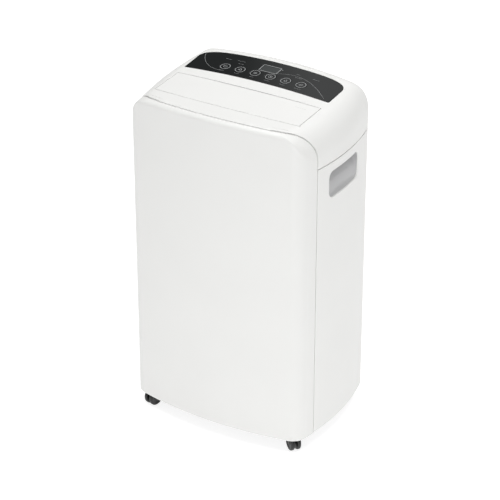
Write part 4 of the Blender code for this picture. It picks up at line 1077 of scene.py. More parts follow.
@dataclass
class OutletFlap:
    """The lid over the air outlet, hinged along its rear edge, and the throat it closes."""

    skin: Skin
    half: float = 0.1352
    front_y: float = -0.080
    front_bow: float = 0.009
    thick: float = 0.0024
    hinge_y: float = -0.0125
    hinge_z: float = 0.5894
    sweep: float = 0.009
    gap: float = 0.0008
    throat_z: float = 0.566
    throat_wall: float = 0.0016
    pin: float = 0.0016

    def back(self, x: Array, grow: float, drop: float = 0.0) -> Array:
        """Return the rear edge: hinge + sqrt(sweep squared - rise squared), rise being the deck's."""
        rise = self.skin.deck_height(x, self.hinge_y + 0.006) - drop - self.hinge_z
        return self.hinge_y + np.sqrt(np.maximum((self.sweep + grow) ** 2 - rise ** 2, 1e-6))

    def outline(self, grow: float) -> Array:
        """Return the lid's plan outline grown all round."""
        half = self.half + grow
        beyond = max(grow - self.gap, 0.0)
        return strip(lambda x: self.front_y - grow + self.front_bow * (x / half) ** 2,
                     lambda x: self.back(x, min(grow, self.gap)) + beyond, half, 60, 16)

    def lean(self, points: Array) -> Array:
        """Return how far the opening's rear edge leans back below the deck, clear of the turning lid."""
        x = points[:, 0]
        shift = self.back(x, self.gap, self.thick) - self.back(x, self.gap)
        return shift * (points[:, 1] > self.hinge_y)

    def throat(self, patch: Patch) -> None:
        """Add the throat below the opening: straight in front and beside, round the hinge behind.

        The rear wall's levels run round the hinge at the swept radius, from the deck to straight
        below it, and then down.
        """
        def level(share: float, grow: float) -> Array:
            """Return one ring of the throat, from the deck at 0 to the foot at 1."""
            ring = self.outline(self.gap + grow)
            x, y = ring.T
            top = self.skin.deck_height(x, y) - 0.0016
            z = top + (self.throat_z - top) * share
            swept = self.sweep + self.gap + grow
            behind = y > self.hinge_y + 0.001
            around = np.maximum(z - self.hinge_z, -swept)
            y = np.where(behind, self.hinge_y + np.sqrt(np.maximum(swept ** 2 - around ** 2, 1e-7)), y)
            return np.column_stack([x, y, z])

        shares = np.linspace(0, 1, 15)
        rings = [level(share, 0.0004) for share in shares]
        rings += [level(share, 0.0004 + self.throat_wall) for share in shares[::-1]]
        patch.add(np.concatenate(rings), rings_to_faces(len(rings), len(rings[0]), Ends.JOINED))

    def build(self) -> None:
        """Make the lid with its hinge pins, ribs and a small raised mark."""
        sheet = Sheet(self.skin.on_deck, 0.0006, self.thick)
        sheet.edge(lambda distance: self.outline(-distance))
        sheet.fill(lattice(np.arange(-0.135, 0.136, 0.005), np.arange(-0.08, 0.0, 0.004)))
        patch = Patch()
        sheet.build(patch)
        for side in (-1, 1):
            start = Vector((side * (self.half - 0.008), self.hinge_y, self.hinge_z))
            matrix = Matrix.Translation(start) @ Matrix.Rotation(side * math.pi / 2, 4, "Y")
            profile = [(0, 0), (self.pin, 0), (self.pin, 0.0098), (self.pin * 0.7, 0.0104), (0, 0.0104)]
            turned(profile, matrix, patch, 24)
            along = np.linspace(self.front_y + 0.016, self.hinge_y, 12)
            for x in (side * 0.060, side * (self.half - 0.009)):
                depth = 0.0045 * np.sin(np.linspace(0.5, math.pi / 2, 12))
                rise = self.skin.deck_height(np.full(12, x), along) - self.thick + 0.0004
                rib = np.column_stack([np.full(12, x), along, rise])[:, None]
                sides = np.array([(-0.0008, 0, 0), (0.0008, 0, 0), (0.0006, 0, 0), (-0.0006, 0, 0)])
                deep = np.array([(0, 0, 0), (0, 0, 0), (0, 0, 1), (0, 0, 1)]) * depth[:, None, None]
                patch.add(rib + sides - deep, rings_to_faces(12, 4))
        dress(patch.piece("outlet_lid", Finish.SHELL), "white_shell", "outlet_flap", "outlet_flap")
        mark = Patch()
        for x in 0.098 + 0.0042 * np.arange(5):
            Print(self.skin, 0.0007).stroke(mark, np.array([(x, -0.0205), (x + 0.003, -0.0205)]))
        dress(mark.piece("outlet_lid_mark", Finish.MARK), "white_shell", "outlet_flap")


@dataclass
class Print:
    """Printed strokes: thin ribbons that lie on the deck, a hair above it."""

    skin: Skin
    width: float = 0.0006
    proud: float = 0.00006
    sunk: float = 0.00003

    def stroke(self, patch: Patch, plan: Array, closed: bool = False) -> None:
        """Add one ribbon along a plan path, carried on the deck's height."""
        plan = np.asarray(plan, float)
        path = np.column_stack([plan, self.skin.deck_height(*plan.T)])
        half = self.width / 2
        section = np.array([(-half, -self.sunk), (half, -self.sunk), (half, self.proud), (-half, self.proud)])
        tube(path, section, patch, closed)

    def ring(self, patch: Patch, centre: Array, radius: float,
             start: float = 0.0, stop: float = 360.0) -> None:
        """Add an arc or a whole ring about a plan place, in degrees."""
        whole = abs(stop - start) >= 360
        count = max(int(abs(stop - start) / 7.5), 4)
        angles = np.radians(np.linspace(start, stop, count + 1)[:count if whole else count + 1])
        self.stroke(patch, centre + radius * np.column_stack([np.cos(angles), np.sin(angles)]), whole)

    def label(self, patch: Patch, centre: tuple, marks: int, pitch: float = 0.00155) -> None:
        """Add a row of short upright and level dashes that stands for a small caption."""
        for index in range(marks):
            x = centre[0] + (index - (marks - 1) / 2) * pitch
            upright = index % 3 == 1
            middle = np.array((x, centre[1]))
            reach = np.array((0.0, 0.0005) if upright else (0.00045, 0.0))
            self.stroke(patch, np.array([middle - reach, middle + reach]))


class Symbol(Enum):
    """The generic signs on the keys, in their order from left to right."""

    POWER = "power"
    FAN = "fan"
    MODE = "mode"
    TIMER = "timer"
    DROP = "drop"
    SWING = "swing"

    def draw(self, pen: Print, patch: Patch, centre: Array, size: float) -> None:
        """Draw the sign as strokes about a plan place."""
        def line(*points: tuple, closed: bool = False) -> None:
            """Draw a path given in units of the sign's size."""
            pen.stroke(patch, centre + size * np.array(points), closed)

        if self is Symbol.POWER:
            pen.ring(patch, centre, size, 125, 415)
            line((0.0, 0.15), (0.0, 1.15))
        elif self is Symbol.FAN:
            for turn in (90, 210, 330):
                away = np.array([math.cos(math.radians(turn)), math.sin(math.radians(turn))])
                pen.ring(patch, centre + away * size * 0.55, size * 0.48, turn - 150, turn + 150)
        elif self is Symbol.MODE:
            line((-1.0, 0.6), (1.0, 0.6))
            line((-1.0, 0.0), (1.0, 0.0))
            line((-1.0, -0.6), (1.0, -0.6))
        elif self is Symbol.TIMER:
            pen.ring(patch, centre, size)
            line((0.0, 0.75), (0.0, 0.0), (0.5, -0.3))
        elif self is Symbol.DROP:
            angles = np.radians(np.linspace(-220, 40, 16))
            bowl = np.column_stack([0.72 * np.cos(angles), 0.72 * np.sin(angles) - 0.3])
            line(*map(tuple, bowl), (0.0, 1.1), closed=True)
        else:
            x = np.linspace(-1.0, 1.0, 16)
            for shift in (-0.4, 0.4):
                line(*zip(x, shift + 0.28 * np.sin(x * math.pi)))


@dataclass
class ControlLens:
    """The glossy control lens with its display window, six keys and printing."""

    skin: Skin
    half: float = 0.137
    front_y: float = 0.018
    front_bow: float = 0.0032
    back_y: float = 0.0903
    side_y: float = 0.070
    corners: tuple = (0.0025, 0.008)
    thick: float = 0.003
    gap: float = 0.0004
    key_x: tuple = (-0.0736, -0.04476, -0.01592, 0.01292, 0.04176, 0.0706)
    key_y: float = 0.0445
    key_radius: float = 0.009
    window: tuple = ((-0.016, 0.057), (0.016, 0.075))
    board_top: float = 0.588

    def outline(self, grow: float) -> Array:
        """Return the lens outline: a shallow bow in front and a wide sweep with tight ends behind."""
        half = self.half + grow
        sweep = self.back_y - self.side_y
        low, high = (corner + grow for corner in self.corners)

        def front(x: Array) -> Array:
            """Return the front edge: a parabola with its two corners turned in."""
            return self.front_y - grow + self.front_bow * (1 - (x / half) ** 2) + corner_cut(x, half, low)

        def back(x: Array) -> Array:
            """Return the back edge: 0.35 of the sweep as x squared and 0.65 of it as |x| to the 9th."""
            fall = 0.35 * (x / half) ** 2 + 0.65 * np.abs(x / half) ** 9
            return self.back_y + grow - corner_cut(x, half, high) - sweep * fall

        return strip(front, back, half, 90, 12)

    def hole(self, centre: Array, radius: float) -> Callable[[float], Array]:
        """Return the loops round a key's hole."""
        return lambda distance: centre + (radius + distance) * circle(64)

    def build(self) -> None:
        """Make the lens, window, keys and printing."""
        sheet = Sheet(self.skin.on_deck, 0.0004, self.thick)
        sheet.edge(lambda distance: self.outline(-distance))
        for x in self.key_x:
            sheet.edge(self.hole(np.array([x, self.key_y]), self.key_radius + self.gap), 0.00025)
        low, high = np.array(self.window[0]), np.array(self.window[1])
        sheet.edge(lambda d: rounded(low - d, high + d, 0.0015 + d, (16, 9), 5), 0.0002)
        sheet.fill(lattice(np.arange(-0.137, 0.138, 0.004), np.arange(0.018, 0.092, 0.004)))
        patch = Patch()
        sheet.build(patch)
        dress(patch.piece("lens_panel", Finish.LENS), "lens_black", "cabinet", "control_lens")
        self.pane()
        for index, x in enumerate(self.key_x):
            self.key(index, x)
        self.printing()

    def pane(self) -> None:
        """The smoked pane in the window, a tenth of a millimetre below the lens."""
        low, high = np.array(self.window[0]) + self.gap, np.array(self.window[1]) - self.gap

        def lowered(points: Array) -> tuple:
            """Lift points to just below the deck."""
            place, normal = self.skin.on_deck(points)
            return place - (0, 0, 0.0001), normal

        sheet = Sheet(lowered, 0.0002, 0.0028)
        sheet.edge(lambda d: rounded(low + d, high - d, 0.0012 - d * 0.5, (16, 9), 5))
        sheet.fill(lattice(np.arange(-0.016, 0.016, 0.003), np.arange(0.057, 0.075, 0.003)))
        patch = Patch()
        sheet.build(patch)
        dress(patch.piece("display_pane", Finish.WINDOW), "window_smoke", "cabinet", "display_window")

    def key(self, index: int, x: float) -> None:
        """One key: a cap that follows the deck with a rounded edge, its stem, and its printed ring and sign.

        The cap's edge is a quarter circle: in by edge * (1 - sin a) and down by edge * (1 - cos a).
        """
        around = circle(64)
        centre = np.array([x, self.key_y])
        size, edge = self.key_radius, 0.0004
        profile = [(0.0004, 0.0), (0.003, 0.0), (0.0055, 0.0), (0.0075, 0.0)]
        turns = np.radians([0, 30, 60, 90])
        profile += [(size - edge * (1 - math.sin(a)), edge * (1 - math.cos(a))) for a in turns]
        profile += [(size, 0.0022), (0.003, 0.0022)]
        rings = []
        for radius, drop in profile:
            plan = centre + radius * around
            rings.append(np.column_stack([plan, self.skin.deck_height(*plan.T) - drop]))
        foot = np.column_stack([centre + 0.003 * around, np.full(64, self.board_top + 0.0041)])
        patch = Patch()
        patch.add(np.concatenate(rings + [foot]), rings_to_faces(len(rings) + 1, 64))
        body, name = f"key_{index + 1}", f"key_{index + 1}"
        dress(patch.piece(f"key_cap_{index + 1}", Finish.LENS), "lens_black", body, name)
        marks = Patch()
        Print(self.skin, 0.0007).ring(marks, centre, size - 0.00075)
        list(Symbol)[index].draw(Print(self.skin, 0.0006), marks, centre, 0.0031)
        dress(marks.piece(f"key_print_{index + 1}", Finish.PRINT), "lens_black", body)

    def printing(self) -> None:
        """The display's outline, captions, indicator marks and the two fine arcs at the ends."""
        fine, bold = Print(self.skin, 0.0006), Print(self.skin, 0.0010)
        patch = Patch()
        low, high = np.array(self.window[0]) - 0.0007, np.array(self.window[1]) + 0.0007
        Print(self.skin, 0.0009).stroke(patch, rounded(low, high, 0.0012, (8, 5), 4), True)
        fine.stroke(patch, np.array([(0.0195, 0.0735), (0.0195, 0.0715), (0.0212, 0.0715)]))
        dress(patch.piece("display_outline", Finish.PRINT), "lens_black", "cabinet")
        captions = Patch()
        for x, marks in zip(self.key_x, (6, 6, 5, 7, 6, 8)):
            bold.label(captions, (x + 0.001, self.key_y - 0.0138), marks)
        for x, y, marks in ((-0.0817, 0.0686, 7), (-0.0572, 0.0697, 10), (-0.0530, 0.0612, 7),
                            (0.0509, 0.0706, 5), (0.0846, 0.0692, 8), (0.0560, 0.0612, 8)):
            bold.label(captions, (x, y), marks)
        dress(captions.piece("lens_captions", Finish.PRINT_DIM), "lens_black", "cabinet")
        arcs = Patch()
        fine.stroke(arcs, bezier((-0.1295, 0.0735), (-0.121, 0.050), (-0.100, 0.028), (-0.072, 0.0295)))
        fine.stroke(arcs, bezier((0.0185, 0.058), (0.048, 0.072), (0.078, 0.068), (0.124, 0.025)))
        dress(arcs.piece("lens_arcs", Finish.PRINT_DIM), "lens_black", "cabinet")


# ---------------------------------------------------------------- cups, grille, tank and casters


@dataclass
class CarryCups:
    """The two carrying cups behind the casing's openings: shallow below, deep under the top edge.

    At a share s of the mouth's height the floor lies 4 + 5 * s + 16 * s cubed mm behind X = 172;
    within the fillet's radius r of the wall it rises by r - sqrt(r*r - (r - d)*(r - d)).
    """

    skin: Skin
    low: tuple = (-0.038, 0.456)
    high: tuple = (0.060, 0.503)
    corner: float = 0.012
    flange: float = 0.002
    face_x: float = 0.172
    depths: tuple = (0.004, 0.005, 0.016)
    fillet: float = 0.005
    behind: float = 0.0026
    wall: float = 0.0016

    def face(self, points: Array) -> Array:
        """Return the X of the casing's inside at places given as Y and Z."""
        girth = self.skin.girth_where(1, points[:, 0], True)
        return self.skin.on_wall(np.column_stack([girth, points[:, 1]]))[0][:, 0] - self.behind

    def floor(self, points: Array, inset: float) -> Array:
        """Return the floor's X at a distance in from the wall."""
        share = np.clip((points[:, 1] - self.low[1]) / (self.high[1] - self.low[1]), 0, 1)
        x = self.face_x - self.depths[0] - self.depths[1] * share - self.depths[2] * share ** 3
        short = max(self.fillet - inset, 0.0)
        rise = self.fillet - math.sqrt(self.fillet ** 2 - short ** 2)
        return np.minimum(x + rise, self.face(points))

    def ring(self, inset: float) -> Array:
        """Return the mouth's outline, inset in its plane."""
        low, high = np.array(self.low) + inset, np.array(self.high) - inset
        return rounded(low, high, max(self.corner - inset, 0.0015), (24, 10), 10)

    def levels(self, inset: float, x: Callable[[Array], Array]) -> Array:
        """Return one ring with its X worked out from its Y and Z."""
        ring = self.ring(inset)
        return np.column_stack([x(ring), ring])

    def build(self) -> None:
        """Make the right cup and its mirror image: flange, wall, fillet, floor and back."""
        rings = [self.levels(-self.flange, lambda r: self.face(r) - self.wall),
                 self.levels(-self.flange, self.face), self.levels(-0.0006, self.face),
                 self.levels(-0.0001, lambda r: self.face(r) - 0.0005)]
        for share in (0.3, 0.6, 0.9):
            rings.append(self.levels(0.0, lambda r, k=share: self.face(r) * (1 - k) + self.floor(r, 0.0) * k))
        insets = [self.fillet * (1 - math.cos(a)) for a in np.radians([0, 22, 45, 68, 90])]
        insets += [0.0085, 0.0115, 0.0145, 0.0175, 0.0205, 0.0228]
        for inset in insets:
            rings.append(self.levels(inset, lambda r, k=inset: self.floor(r, k)))
        for inset in (0.018, 0.008, 0.002, -self.wall):
            rings.append(self.levels(inset, lambda r, k=inset: np.minimum(
                self.floor(r, max(k, 0.0)) - self.wall, self.face(r) - self.wall)))
        rings = np.array(rings)
        count = rings.shape[1]
        deep = (len(rings) - 5) * count
        faces = floored(rings_to_faces(len(rings), count, Ends.JOINED), deep, count)
        for name, sign in (("right", 1.0), ("left", -1.0)):
            patch = Patch()
            patch.add(rings.reshape(-1, 3) * (sign, 1, 1), faces)
            # The cup finish is grey plastic darkened with painted shade for the recess interior.
            dress(patch.piece(f"carry_cup_{name}", Finish.CUP), "cup_grey", "cabinet", f"handle_cup_{name}")


@dataclass
class IntakeGrille:
    """The slotted intake grille with the rim that carries the air filter."""

    skin: Skin
    low: tuple = (-0.1235, 0.3185)
    high: tuple = (0.1235, 0.4995)
    corner: float = 0.0095
    rows: int = 20
    columns: int = 3
    margin: tuple = (0.012, 0.008)
    bar: float = 0.005
    open_share: float = 0.56
    rim_y: tuple = (0.112, 0.1205)

    def build(self) -> None:
        """Make the face with its slots and the rim behind it."""
        low, high = np.array(self.low), np.array(self.high)
        sheet = Sheet(self.skin.on_wall, 0.0007, shares=(0.0, 0.15, 0.5, 1.0), beyond=0.0003)
        sheet.edge(lambda d: self.skin.back_layout(rounded(low + d, high - d, self.corner - d, (40, 30), 8)))
        pitch = (high[1] - low[1] - 2 * self.margin[1]) / self.rows
        width = (high[0] - low[0] - 2 * self.margin[0] - (self.columns - 1) * self.bar) / self.columns
        for row in range(self.rows):
            middle = low[1] + self.margin[1] + pitch * (row + 0.5)
            for column in range(self.columns):
                left = low[0] + self.margin[0] + column * (width + self.bar)
                first = np.array([left, middle - pitch * self.open_share / 2])
                last = np.array([left + width, middle + pitch * self.open_share / 2])
                sheet.edge(lambda d, a=first, b=last: self.skin.back_layout(
                    rounded(a - d, b + d, (b - a)[1] / 2 + d - 1e-5, (8, 1), 4)), 0.0006)
        sheet.fill(lattice(self.skin.lengths[100:-100:2], np.arange(low[1], high[1], 0.009)))
        patch = Patch()
        sheet.build(patch)
        outer = rounded((-0.121, 0.321), (0.121, 0.497), 0.008, (30, 20), 6)
        inner = rounded((-0.117, 0.325), (0.117, 0.493), 0.006, (30, 20), 6)
        rings = []
        near, far = self.rim_y
        for ring, y in ((outer, far), (outer, near), (inner, near), (inner, far)):
            rings.append(np.column_stack([ring[:, 0], np.full(len(ring), y), ring[:, 1]]))
        patch.add(np.concatenate(rings), rings_to_faces(4, len(outer), Ends.JOINED))
        dress(patch.piece("intake_grille", Finish.SHELL), "white_shell", "filter_cassette", "filter_grille")


@dataclass
class WaterTank:
    """The pull-out water tank: a curved face with a grip and a level slot, and the tub behind it."""

    skin: Skin
    low: tuple = (-0.139, 0.052)
    high: tuple = (0.139, 0.291)
    corner: float = 0.0074
    wall: float = 0.0022
    front_y: float = 0.014
    rim_z: float = 0.284
    grip: tuple = ((-0.046, 0.249), (0.046, 0.281))
    grip_y: float = 0.1035
    level: tuple = ((0.092, 0.090), (0.104, 0.240))

    def behind(self, ring: Array, inset: float) -> Array:
        """Return points on the back's inside at a depth, given as X and Z."""
        place, normal = self.skin.on_wall(self.skin.back_layout(ring))
        return place - normal * inset

    def build(self) -> None:
        """Make the tank, then its clear level strip."""
        low, high = np.array(self.low), np.array(self.high)
        sheet = Sheet(self.skin.on_wall, 0.0009, self.wall)
        sheet.edge(lambda d: self.skin.back_layout(rounded(low + d, high - d, self.corner - d, (50, 40), 8)))
        for (first, last), radius in ((self.grip, 0.006), (self.level, 0.001)):
            a, b = np.array(first), np.array(last)
            sheet.edge(lambda d, a=a, b=b, r=radius: self.skin.back_layout(
                rounded(a - d, b + d, r + d, (20, 20), 6)), 0.0008)
        sheet.fill(lattice(self.skin.lengths[90:-90:2], np.arange(low[1], high[1], 0.010)))
        patch = Patch()
        sheet.build(patch)
        self.pocket(patch)
        self.tub(patch)
        dress(patch.piece("tank_body", Finish.TANK), "tank_smoke", "tank", "water_tank")
        first, last = np.array(self.level[0]) + 0.0003, np.array(self.level[1]) - 0.0003
        strip_sheet = Sheet(lambda points: lowered(self.skin, points, 0.0004), 0.0004, 0.0016)
        strip_sheet.edge(lambda d: self.skin.back_layout(
            rounded(first + d, last - d, 0.001 - d * 0.5, (6, 40), 4)))
        window = Patch()
        strip_sheet.build(window)
        dress(window.piece("level_strip", Finish.WINDOW), "window_smoke", "tank", "level_window")

    def pocket(self, patch: Patch) -> None:
        """Add the grip's pocket: rings from the mouth inwards, its floor sloping up and in."""
        rings = []
        for grow, order in ((0.0, (0, 1, 2)), (0.0016, (2, 1, 0))):
            for step in order:
                share = step / 2
                low = np.array(self.grip[0]) - grow + (0.001, 0.013 * share ** 1.5)
                high = np.array(self.grip[1]) + grow - (0.001, 0.0)
                ring = rounded(low, high, 0.005 + grow, (16, 8), 6)
                place = self.behind(ring, 0.0012)
                deep = self.grip_y - grow
                place[:, 1] += (deep - place[:, 1]) * share
                rings.append(place)
        count = len(rings[0])
        patch.add(np.concatenate(rings), floored(rings_to_faces(6, count, Ends.JOINED), 2 * count, count))

    def tub(self, patch: Patch) -> None:
        """Add the tub: a U-shaped section carried from the front wall to the face, and the front wall."""
        def section(inset: float) -> Array:
            """Return half of the U: down one side, along the bottom and up the other side."""
            ring = rounded(np.array(self.low) + inset, np.array(self.high) - inset,
                           self.corner - inset * 0.9, (24, 30), 8)
            low = ring[ring[:, 1] < self.rim_z]
            turn = np.arctan2(low[:, 0], -(low[:, 1] - self.high[1]))
            low = low[np.argsort(turn)]
            ends = low[[0, -1]] * (1, 0) + (0, self.rim_z)
            return np.concatenate([ends[:1], low, ends[1:]])

        loop = np.concatenate([section(0.0), section(self.wall)[::-1]])
        rings = []
        for share in (0.0, 0.25, 0.5, 0.75, 1.0):
            back = self.behind(loop, 0.0015)[:, 1]
            y = self.front_y + (back - self.front_y) * share
            rings.append(np.column_stack([loop[:, 0], y, loop[:, 1]]))
        patch.add(np.concatenate(rings), rings_to_faces(5, len(loop)))
        plate = section(0.0)
        rings = [np.column_stack([plate[:, 0], np.full(len(plate), y), plate[:, 1]])
                 for y in (self.front_y, self.front_y + self.wall)]
        patch.add(np.concatenate(rings), rings_to_faces(2, len(plate)))


def lowered(skin: Skin, points: Array, depth: float) -> tuple:
    """Lift wall points to a little below the wall's surface."""
    place, normal = skin.on_wall(points)
    return place - normal * depth, normal


@dataclass
class Caster:
    """A twin-wheel caster: a hooded fork on a stem, two treaded wheels and their axle."""

    name: str
    radius: float = 0.015
    trail: float = 0.012
    hood: float = 0.0176
    hood_wall: float = 0.0017
    half: float = 0.0094

    def place(self) -> Matrix:
        """Return the caster's place: its swivel's pivot, turned towards its packed wheels."""
        pivot = next(joint for joint in frame["joints"] if joint["name"] == f"swivel_{self.name}")["pos_m"]
        low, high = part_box(f"caster_wheel_{self.name}")
        heading = math.atan2((low[1] + high[1]) / 2 - pivot[1], (low[0] + high[0]) / 2 - pivot[0])
        return Matrix.Translation((pivot[0], pivot[1], 0)) @ Matrix.Rotation(heading, 4, "Z")

    def axle(self, place: Matrix) -> Matrix:
        """Return the axle's place, with its Z axis along the axle."""
        turn = Matrix.Rotation(-math.pi / 2, 4, "X")
        return place @ Matrix.Translation((self.trail, 0, self.radius)) @ turn

    def build(self) -> None:
        """Make the fork and the wheels."""
        place = self.place()
        fork = Patch()
        self.hood_shell(fork, place)
        self.boss(fork, place)
        self.web(fork, place)
        dress(fork.piece(f"fork_{self.name}_moulding", Finish.CASTER), "caster_black", f"fork_{self.name}",
              f"caster_fork_{self.name}")
        wheels = Patch()
        axle = self.axle(place)
        for side in (-1, 1):
            self.wheel(wheels, axle @ Matrix.Rotation(0 if side > 0 else math.pi, 4, "X"))
        turned([(0, -0.005), (0.002, -0.005), (0.002, 0.005), (0, 0.005)], axle, wheels, 24)
        dress(wheels.piece(f"wheels_{self.name}", Finish.CASTER), "caster_black", f"wheel_{self.name}",
              f"caster_wheel_{self.name}")

    def wheel(self, patch: Patch, axle: Matrix) -> None:
        """Add one wheel: a rounded tread, a dished outer face and a raised hub."""
        r = self.radius
        profile = [(0, 0.0021), (r - 0.0022, 0.0021), (r - 0.0007, 0.0026), (r - 0.0001, 0.0036), (r, 0.0046)]
        profile += [(r, 0.0066), (r - 0.0002, 0.0076), (r - 0.0009, 0.0085), (r - 0.0022, 0.009)]
        profile += [(r - 0.0034, 0.0089), (r - 0.0042, 0.0082), (0.0052, 0.0078), (0.0046, 0.0084)]
        profile += [(0.0036, 0.0088), (0, 0.0089)]
        turned(profile, axle, patch, 72)

    def hood_shell(self, patch: Patch, place: Matrix) -> None:
        """Add the hood: a closed rim section carried round the wheels from the back to the front.

        The section is a flat strip with rounded shoulders whose radius is the hood's less
        1.6 mm * (|y| / half) to the 4th.
        """
        across = np.linspace(-1, 1, 17)
        y = self.half * across
        outer = self.hood - 0.0016 * np.abs(across) ** 4
        inner = np.full(17, self.hood - self.hood_wall)
        inner = np.minimum(inner, outer - 0.0002)
        section = np.concatenate([np.column_stack([y, outer]), np.column_stack([y[::-1], inner[::-1]])])
        angles = np.radians(np.linspace(62, 183, 25))
        rings = [np.column_stack([self.trail + section[:, 1] * math.cos(a), section[:, 0],
                                  self.radius + section[:, 1] * math.sin(a)]) for a in angles]
        patch.add(moved(np.concatenate(rings), place), rings_to_faces(len(rings), len(section)))

    def boss(self, patch: Patch, place: Matrix) -> None:
        """Add the boss under the pan, trimmed to the hood below, and the stem above it."""
        rings = []
        for radius, height in ((0.0085, None), (0.009, None), (0.009, 0.0365), (0.0082, 0.0375),
                               (0.004, 0.0375), (0.004, 0.0478), (0.0032, 0.0488)):
            x, y = radius * circle(48).T
            rim = np.maximum((self.hood - 0.0008) ** 2 - (self.trail - x) ** 2, 0)
            z = np.maximum(self.radius + np.sqrt(rim), 0.0255) if height is None else np.full(48, height)
            rings.append(np.column_stack([x, y, z]))
        patch.add(moved(np.concatenate(rings), place), rings_to_faces(len(rings), 48))

    def web(self, patch: Patch, place: Matrix) -> None:
        """Add the web between the wheels: a plate from the hood down to an eye round the axle."""
        eye = self.axle(place)
        rings = ((0.0026, -0.0015), (0.0048, -0.0015), (0.0048, 0.0015), (0.0026, 0.0015))
        grid = [np.column_stack([radius * circle(32), np.full(32, height)]) for radius, height in rings]
        patch.add(moved(np.concatenate(grid), eye), rings_to_faces(4, 32, Ends.JOINED))
        sweep = np.radians(np.linspace(75, 165, 12))
        arcs = [np.column_stack([self.trail + r * np.cos(a), np.zeros(12), self.radius + r * np.sin(a)])
                for r, a in ((0.0044, sweep), (0.0164, sweep[::-1]))]
        plate = np.concatenate(arcs)
        verts = np.concatenate([plate - (0, 0.0015, 0), plate + (0, 0.0015, 0)])
        patch.add(moved(verts, place), rings_to_faces(2, len(plate)))


@dataclass
class BackFittings:
    """The drain plug and the cord gland on the back."""

    skin: Skin
    drain: tuple = (-0.110, 0.3065)
    gland: tuple = (0.110, 0.3065)

    def build(self) -> None:
        """Make both fittings as turned pieces about Y."""
        turn = Matrix.Rotation(-math.pi / 2, 4, "X")
        plug = Patch()
        profile = [(0, 0.118), (0.0034, 0.118), (0.004, 0.119), (0.0037, 0.121), (0.004, 0.123)]
        profile += [(0.004, 0.126), (0.0069, 0.126), (0.0074, 0.1264), (0.0074, 0.1276)]
        profile += [(0.007, 0.1281), (0.006, 0.1282)]
        profile += [(0.0052, 0.1278), (0.0024, 0.1277), (0.002, 0.1281), (0, 0.1282)]
        turned(profile, Matrix.Translation((self.drain[0], 0, self.drain[1])) @ turn, plug, 48)
        dress(plug.piece("drain_bung", Finish.RUBBER), "rubber", "drain_plug", "drain_plug")
        gland = Patch()
        profile = [(0.0036, 0.111), (0.0066, 0.111), (0.0068, 0.1115), (0.0068, 0.124), (0.0097, 0.124)]
        profile += [(0.010, 0.1243), (0.010, 0.1262), (0.0094, 0.1269), (0.0078, 0.127), (0.007, 0.1264)]
        profile += [(0.0052, 0.1264), (0.005, 0.127), (0.0042, 0.127), (0.0036, 0.1266)]
        rings = []
        for radius, y in profile:
            x, z = (np.array(self.gland) + radius * circle(64)).T
            rings.append(np.column_stack([x, np.full(64, y), z]))
        gland.add(np.concatenate(rings), rings_to_faces(len(rings), 64, Ends.JOINED))
        dress(gland.piece("cord_bush", Finish.BLACK), "abs_black", "cabinet", "cord_gland")


# ---------------------------------------------------------------- the inside and the studio


@dataclass
class Inside:
    """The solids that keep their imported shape: each gets the finish of its material."""

    finishes: tuple = (
        (Finish.INNER, ("inner_frame", "drip_tray", "air_shroud", "outlet_duct", "control_box",
                        "control_box_lid")),
        (Finish.BLACK, ("base_pan", "outlet_grille", "blower_housing", "blower_wheel", "terminal_cover",
                        "humidity_sensor", "level_switch")),
        (Finish.TANK, ("tank_lid",)),
        (Finish.FLOAT, ("tank_float",)),
        (Finish.FILTER, ("air_filter",)),
        (Finish.ALUMINIUM, ("evaporator", "condenser", "run_capacitor")),
        (Finish.COPPER, ("discharge_line", "suction_line", "liquid_line", "capillary_line", "filter_drier")),
        (Finish.PAINTED, ("compressor", "accumulator")),
        (Finish.STEEL, ("fan_motor",)),
        (Finish.RUBBER, ("compressor_grommet_1", "compressor_grommet_2", "compressor_grommet_3")),
        (Finish.BOARD, ("main_board", "display_board")),
    )

    def build(self) -> None:
        """Give every kept solid its finish."""
        for finish, names in self.finishes:
            for name in names:
                for slot in frame["nodes"][name].material_slots:
                    slot.material = finish.material
                LOG.info("%s keeps its solid, finished in %s", name, finish.value.name)


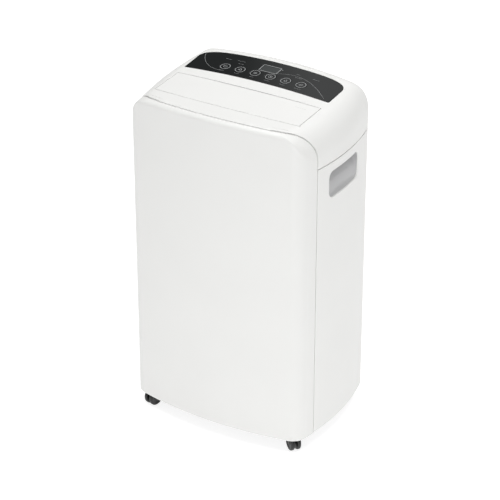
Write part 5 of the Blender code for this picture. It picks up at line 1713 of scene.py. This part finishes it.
@dataclass
class Studio:
    """A pale floor, soft light and the camera."""

    elevation: float = 28.469
    yaw: float = 31.627
    lens: float = 151.72
    distance: float = 3.54155
    target: tuple = (0.00151, 0.0, 0.2978)
    floor_glow: float = 0.84
    sky_strength: float = 0.39
    card: tuple = (-0.49, 0.64, 0.60)
    card_edge: tuple = (0.78, 0.92)
    card_depth: float = 0.92
    slant: tuple = (0.77, -0.07, 0.64)
    slant_edge: tuple = (-0.11, 0.02)

    def build(self) -> None:
        """Make the floor, the sky, two area lights and the camera."""
        bpy.context.scene.view_settings.view_transform = "Standard"
        self.camera()
        self.floor()
        self.sky()
        self.lamp("overhead_light", (0.2, 0.0, 3.2), 2.6, 74.0)
        self.lamp("key_light", (0.7, -1.3, 0.3), 0.6, 3.0)

    def camera(self) -> None:
        """Make the camera, looking at the target from its elevation and yaw."""
        up, side = math.radians(self.elevation), math.radians(self.yaw)
        ahead = Vector((-math.sin(side) * math.cos(up), math.cos(side) * math.cos(up), -math.sin(up)))
        data = bpy.data.cameras.new("camera")
        data.lens, data.sensor_width, data.clip_end = self.lens, 36.0, 50.0
        made = bpy.data.objects.new("camera", data)
        made.location = Vector(self.target) - ahead * self.distance
        made.rotation_euler = ahead.to_track_quat("-Z", "Y").to_euler()
        bpy.context.scene.collection.objects.link(made)
        bpy.context.scene.camera = made

    def floor(self) -> None:
        """Make a wide pale disc with a faint grain."""
        patch = Patch()
        turned([(0, -0.01), (6.0, -0.01), (6.0, 0.0), (3.0, 0.0), (0, 0.0)], Matrix.Identity(4), patch, 96)
        made = patch.piece("studio_floor", Finish.FLOOR)
        shader = made.active_material.node_tree.nodes["Principled BSDF"]
        shader.inputs["Emission Color"].default_value = (1.0, 1.0, 1.0, 1.0)
        shader.inputs["Emission Strength"].default_value = self.floor_glow

    def sky(self) -> None:
        """Make a white surround with one soft dark card behind, which the gloss of the top reflects.

        The card is a cone about its direction, and it fades out along the slant.
        """
        sky = Surround()
        cone = sky.dot(self.card).step(*self.card_edge)
        fade = 1 - sky.dot(self.slant).step(*self.slant_edge)
        sky.light((1 - cone * fade * self.card_depth) * self.sky_strength)

    def lamp(self, name: str, place: tuple, size: float, power: float) -> None:
        """Make one square area light aimed at the cabinet's middle."""
        data = bpy.data.lights.new(name, "AREA")
        data.size, data.energy = size, power
        made = bpy.data.objects.new(name, data)
        made.location = place
        made.rotation_euler = (Vector((0, 0, 0.3)) - Vector(place)).to_track_quat("-Z", "Y").to_euler()
        bpy.context.scene.collection.objects.link(made)


def main() -> None:
    """Build the dehumidifier in order."""
    logging.basicConfig(level=logging.INFO, format="%(name)s: %(message)s")
    width, depth = (CAD_BOX[1][axis] - CAD_BOX[0][axis] for axis in (0, 1))
    skin = Skin(width, depth)
    Studio().build()
    Shells(skin, Skin(width, depth, side_grow=0.0006)).build()
    OutletFlap(skin).build()
    ControlLens(skin).build()
    CarryCups(skin).build()
    IntakeGrille(skin).build()
    WaterTank(skin).build()
    BackFittings(skin).build()
    for name in ("front_left", "front_right", "rear_left", "rear_right"):
        Caster(name).build()
    Inside().build()


if __name__ == "__main__":
    main()
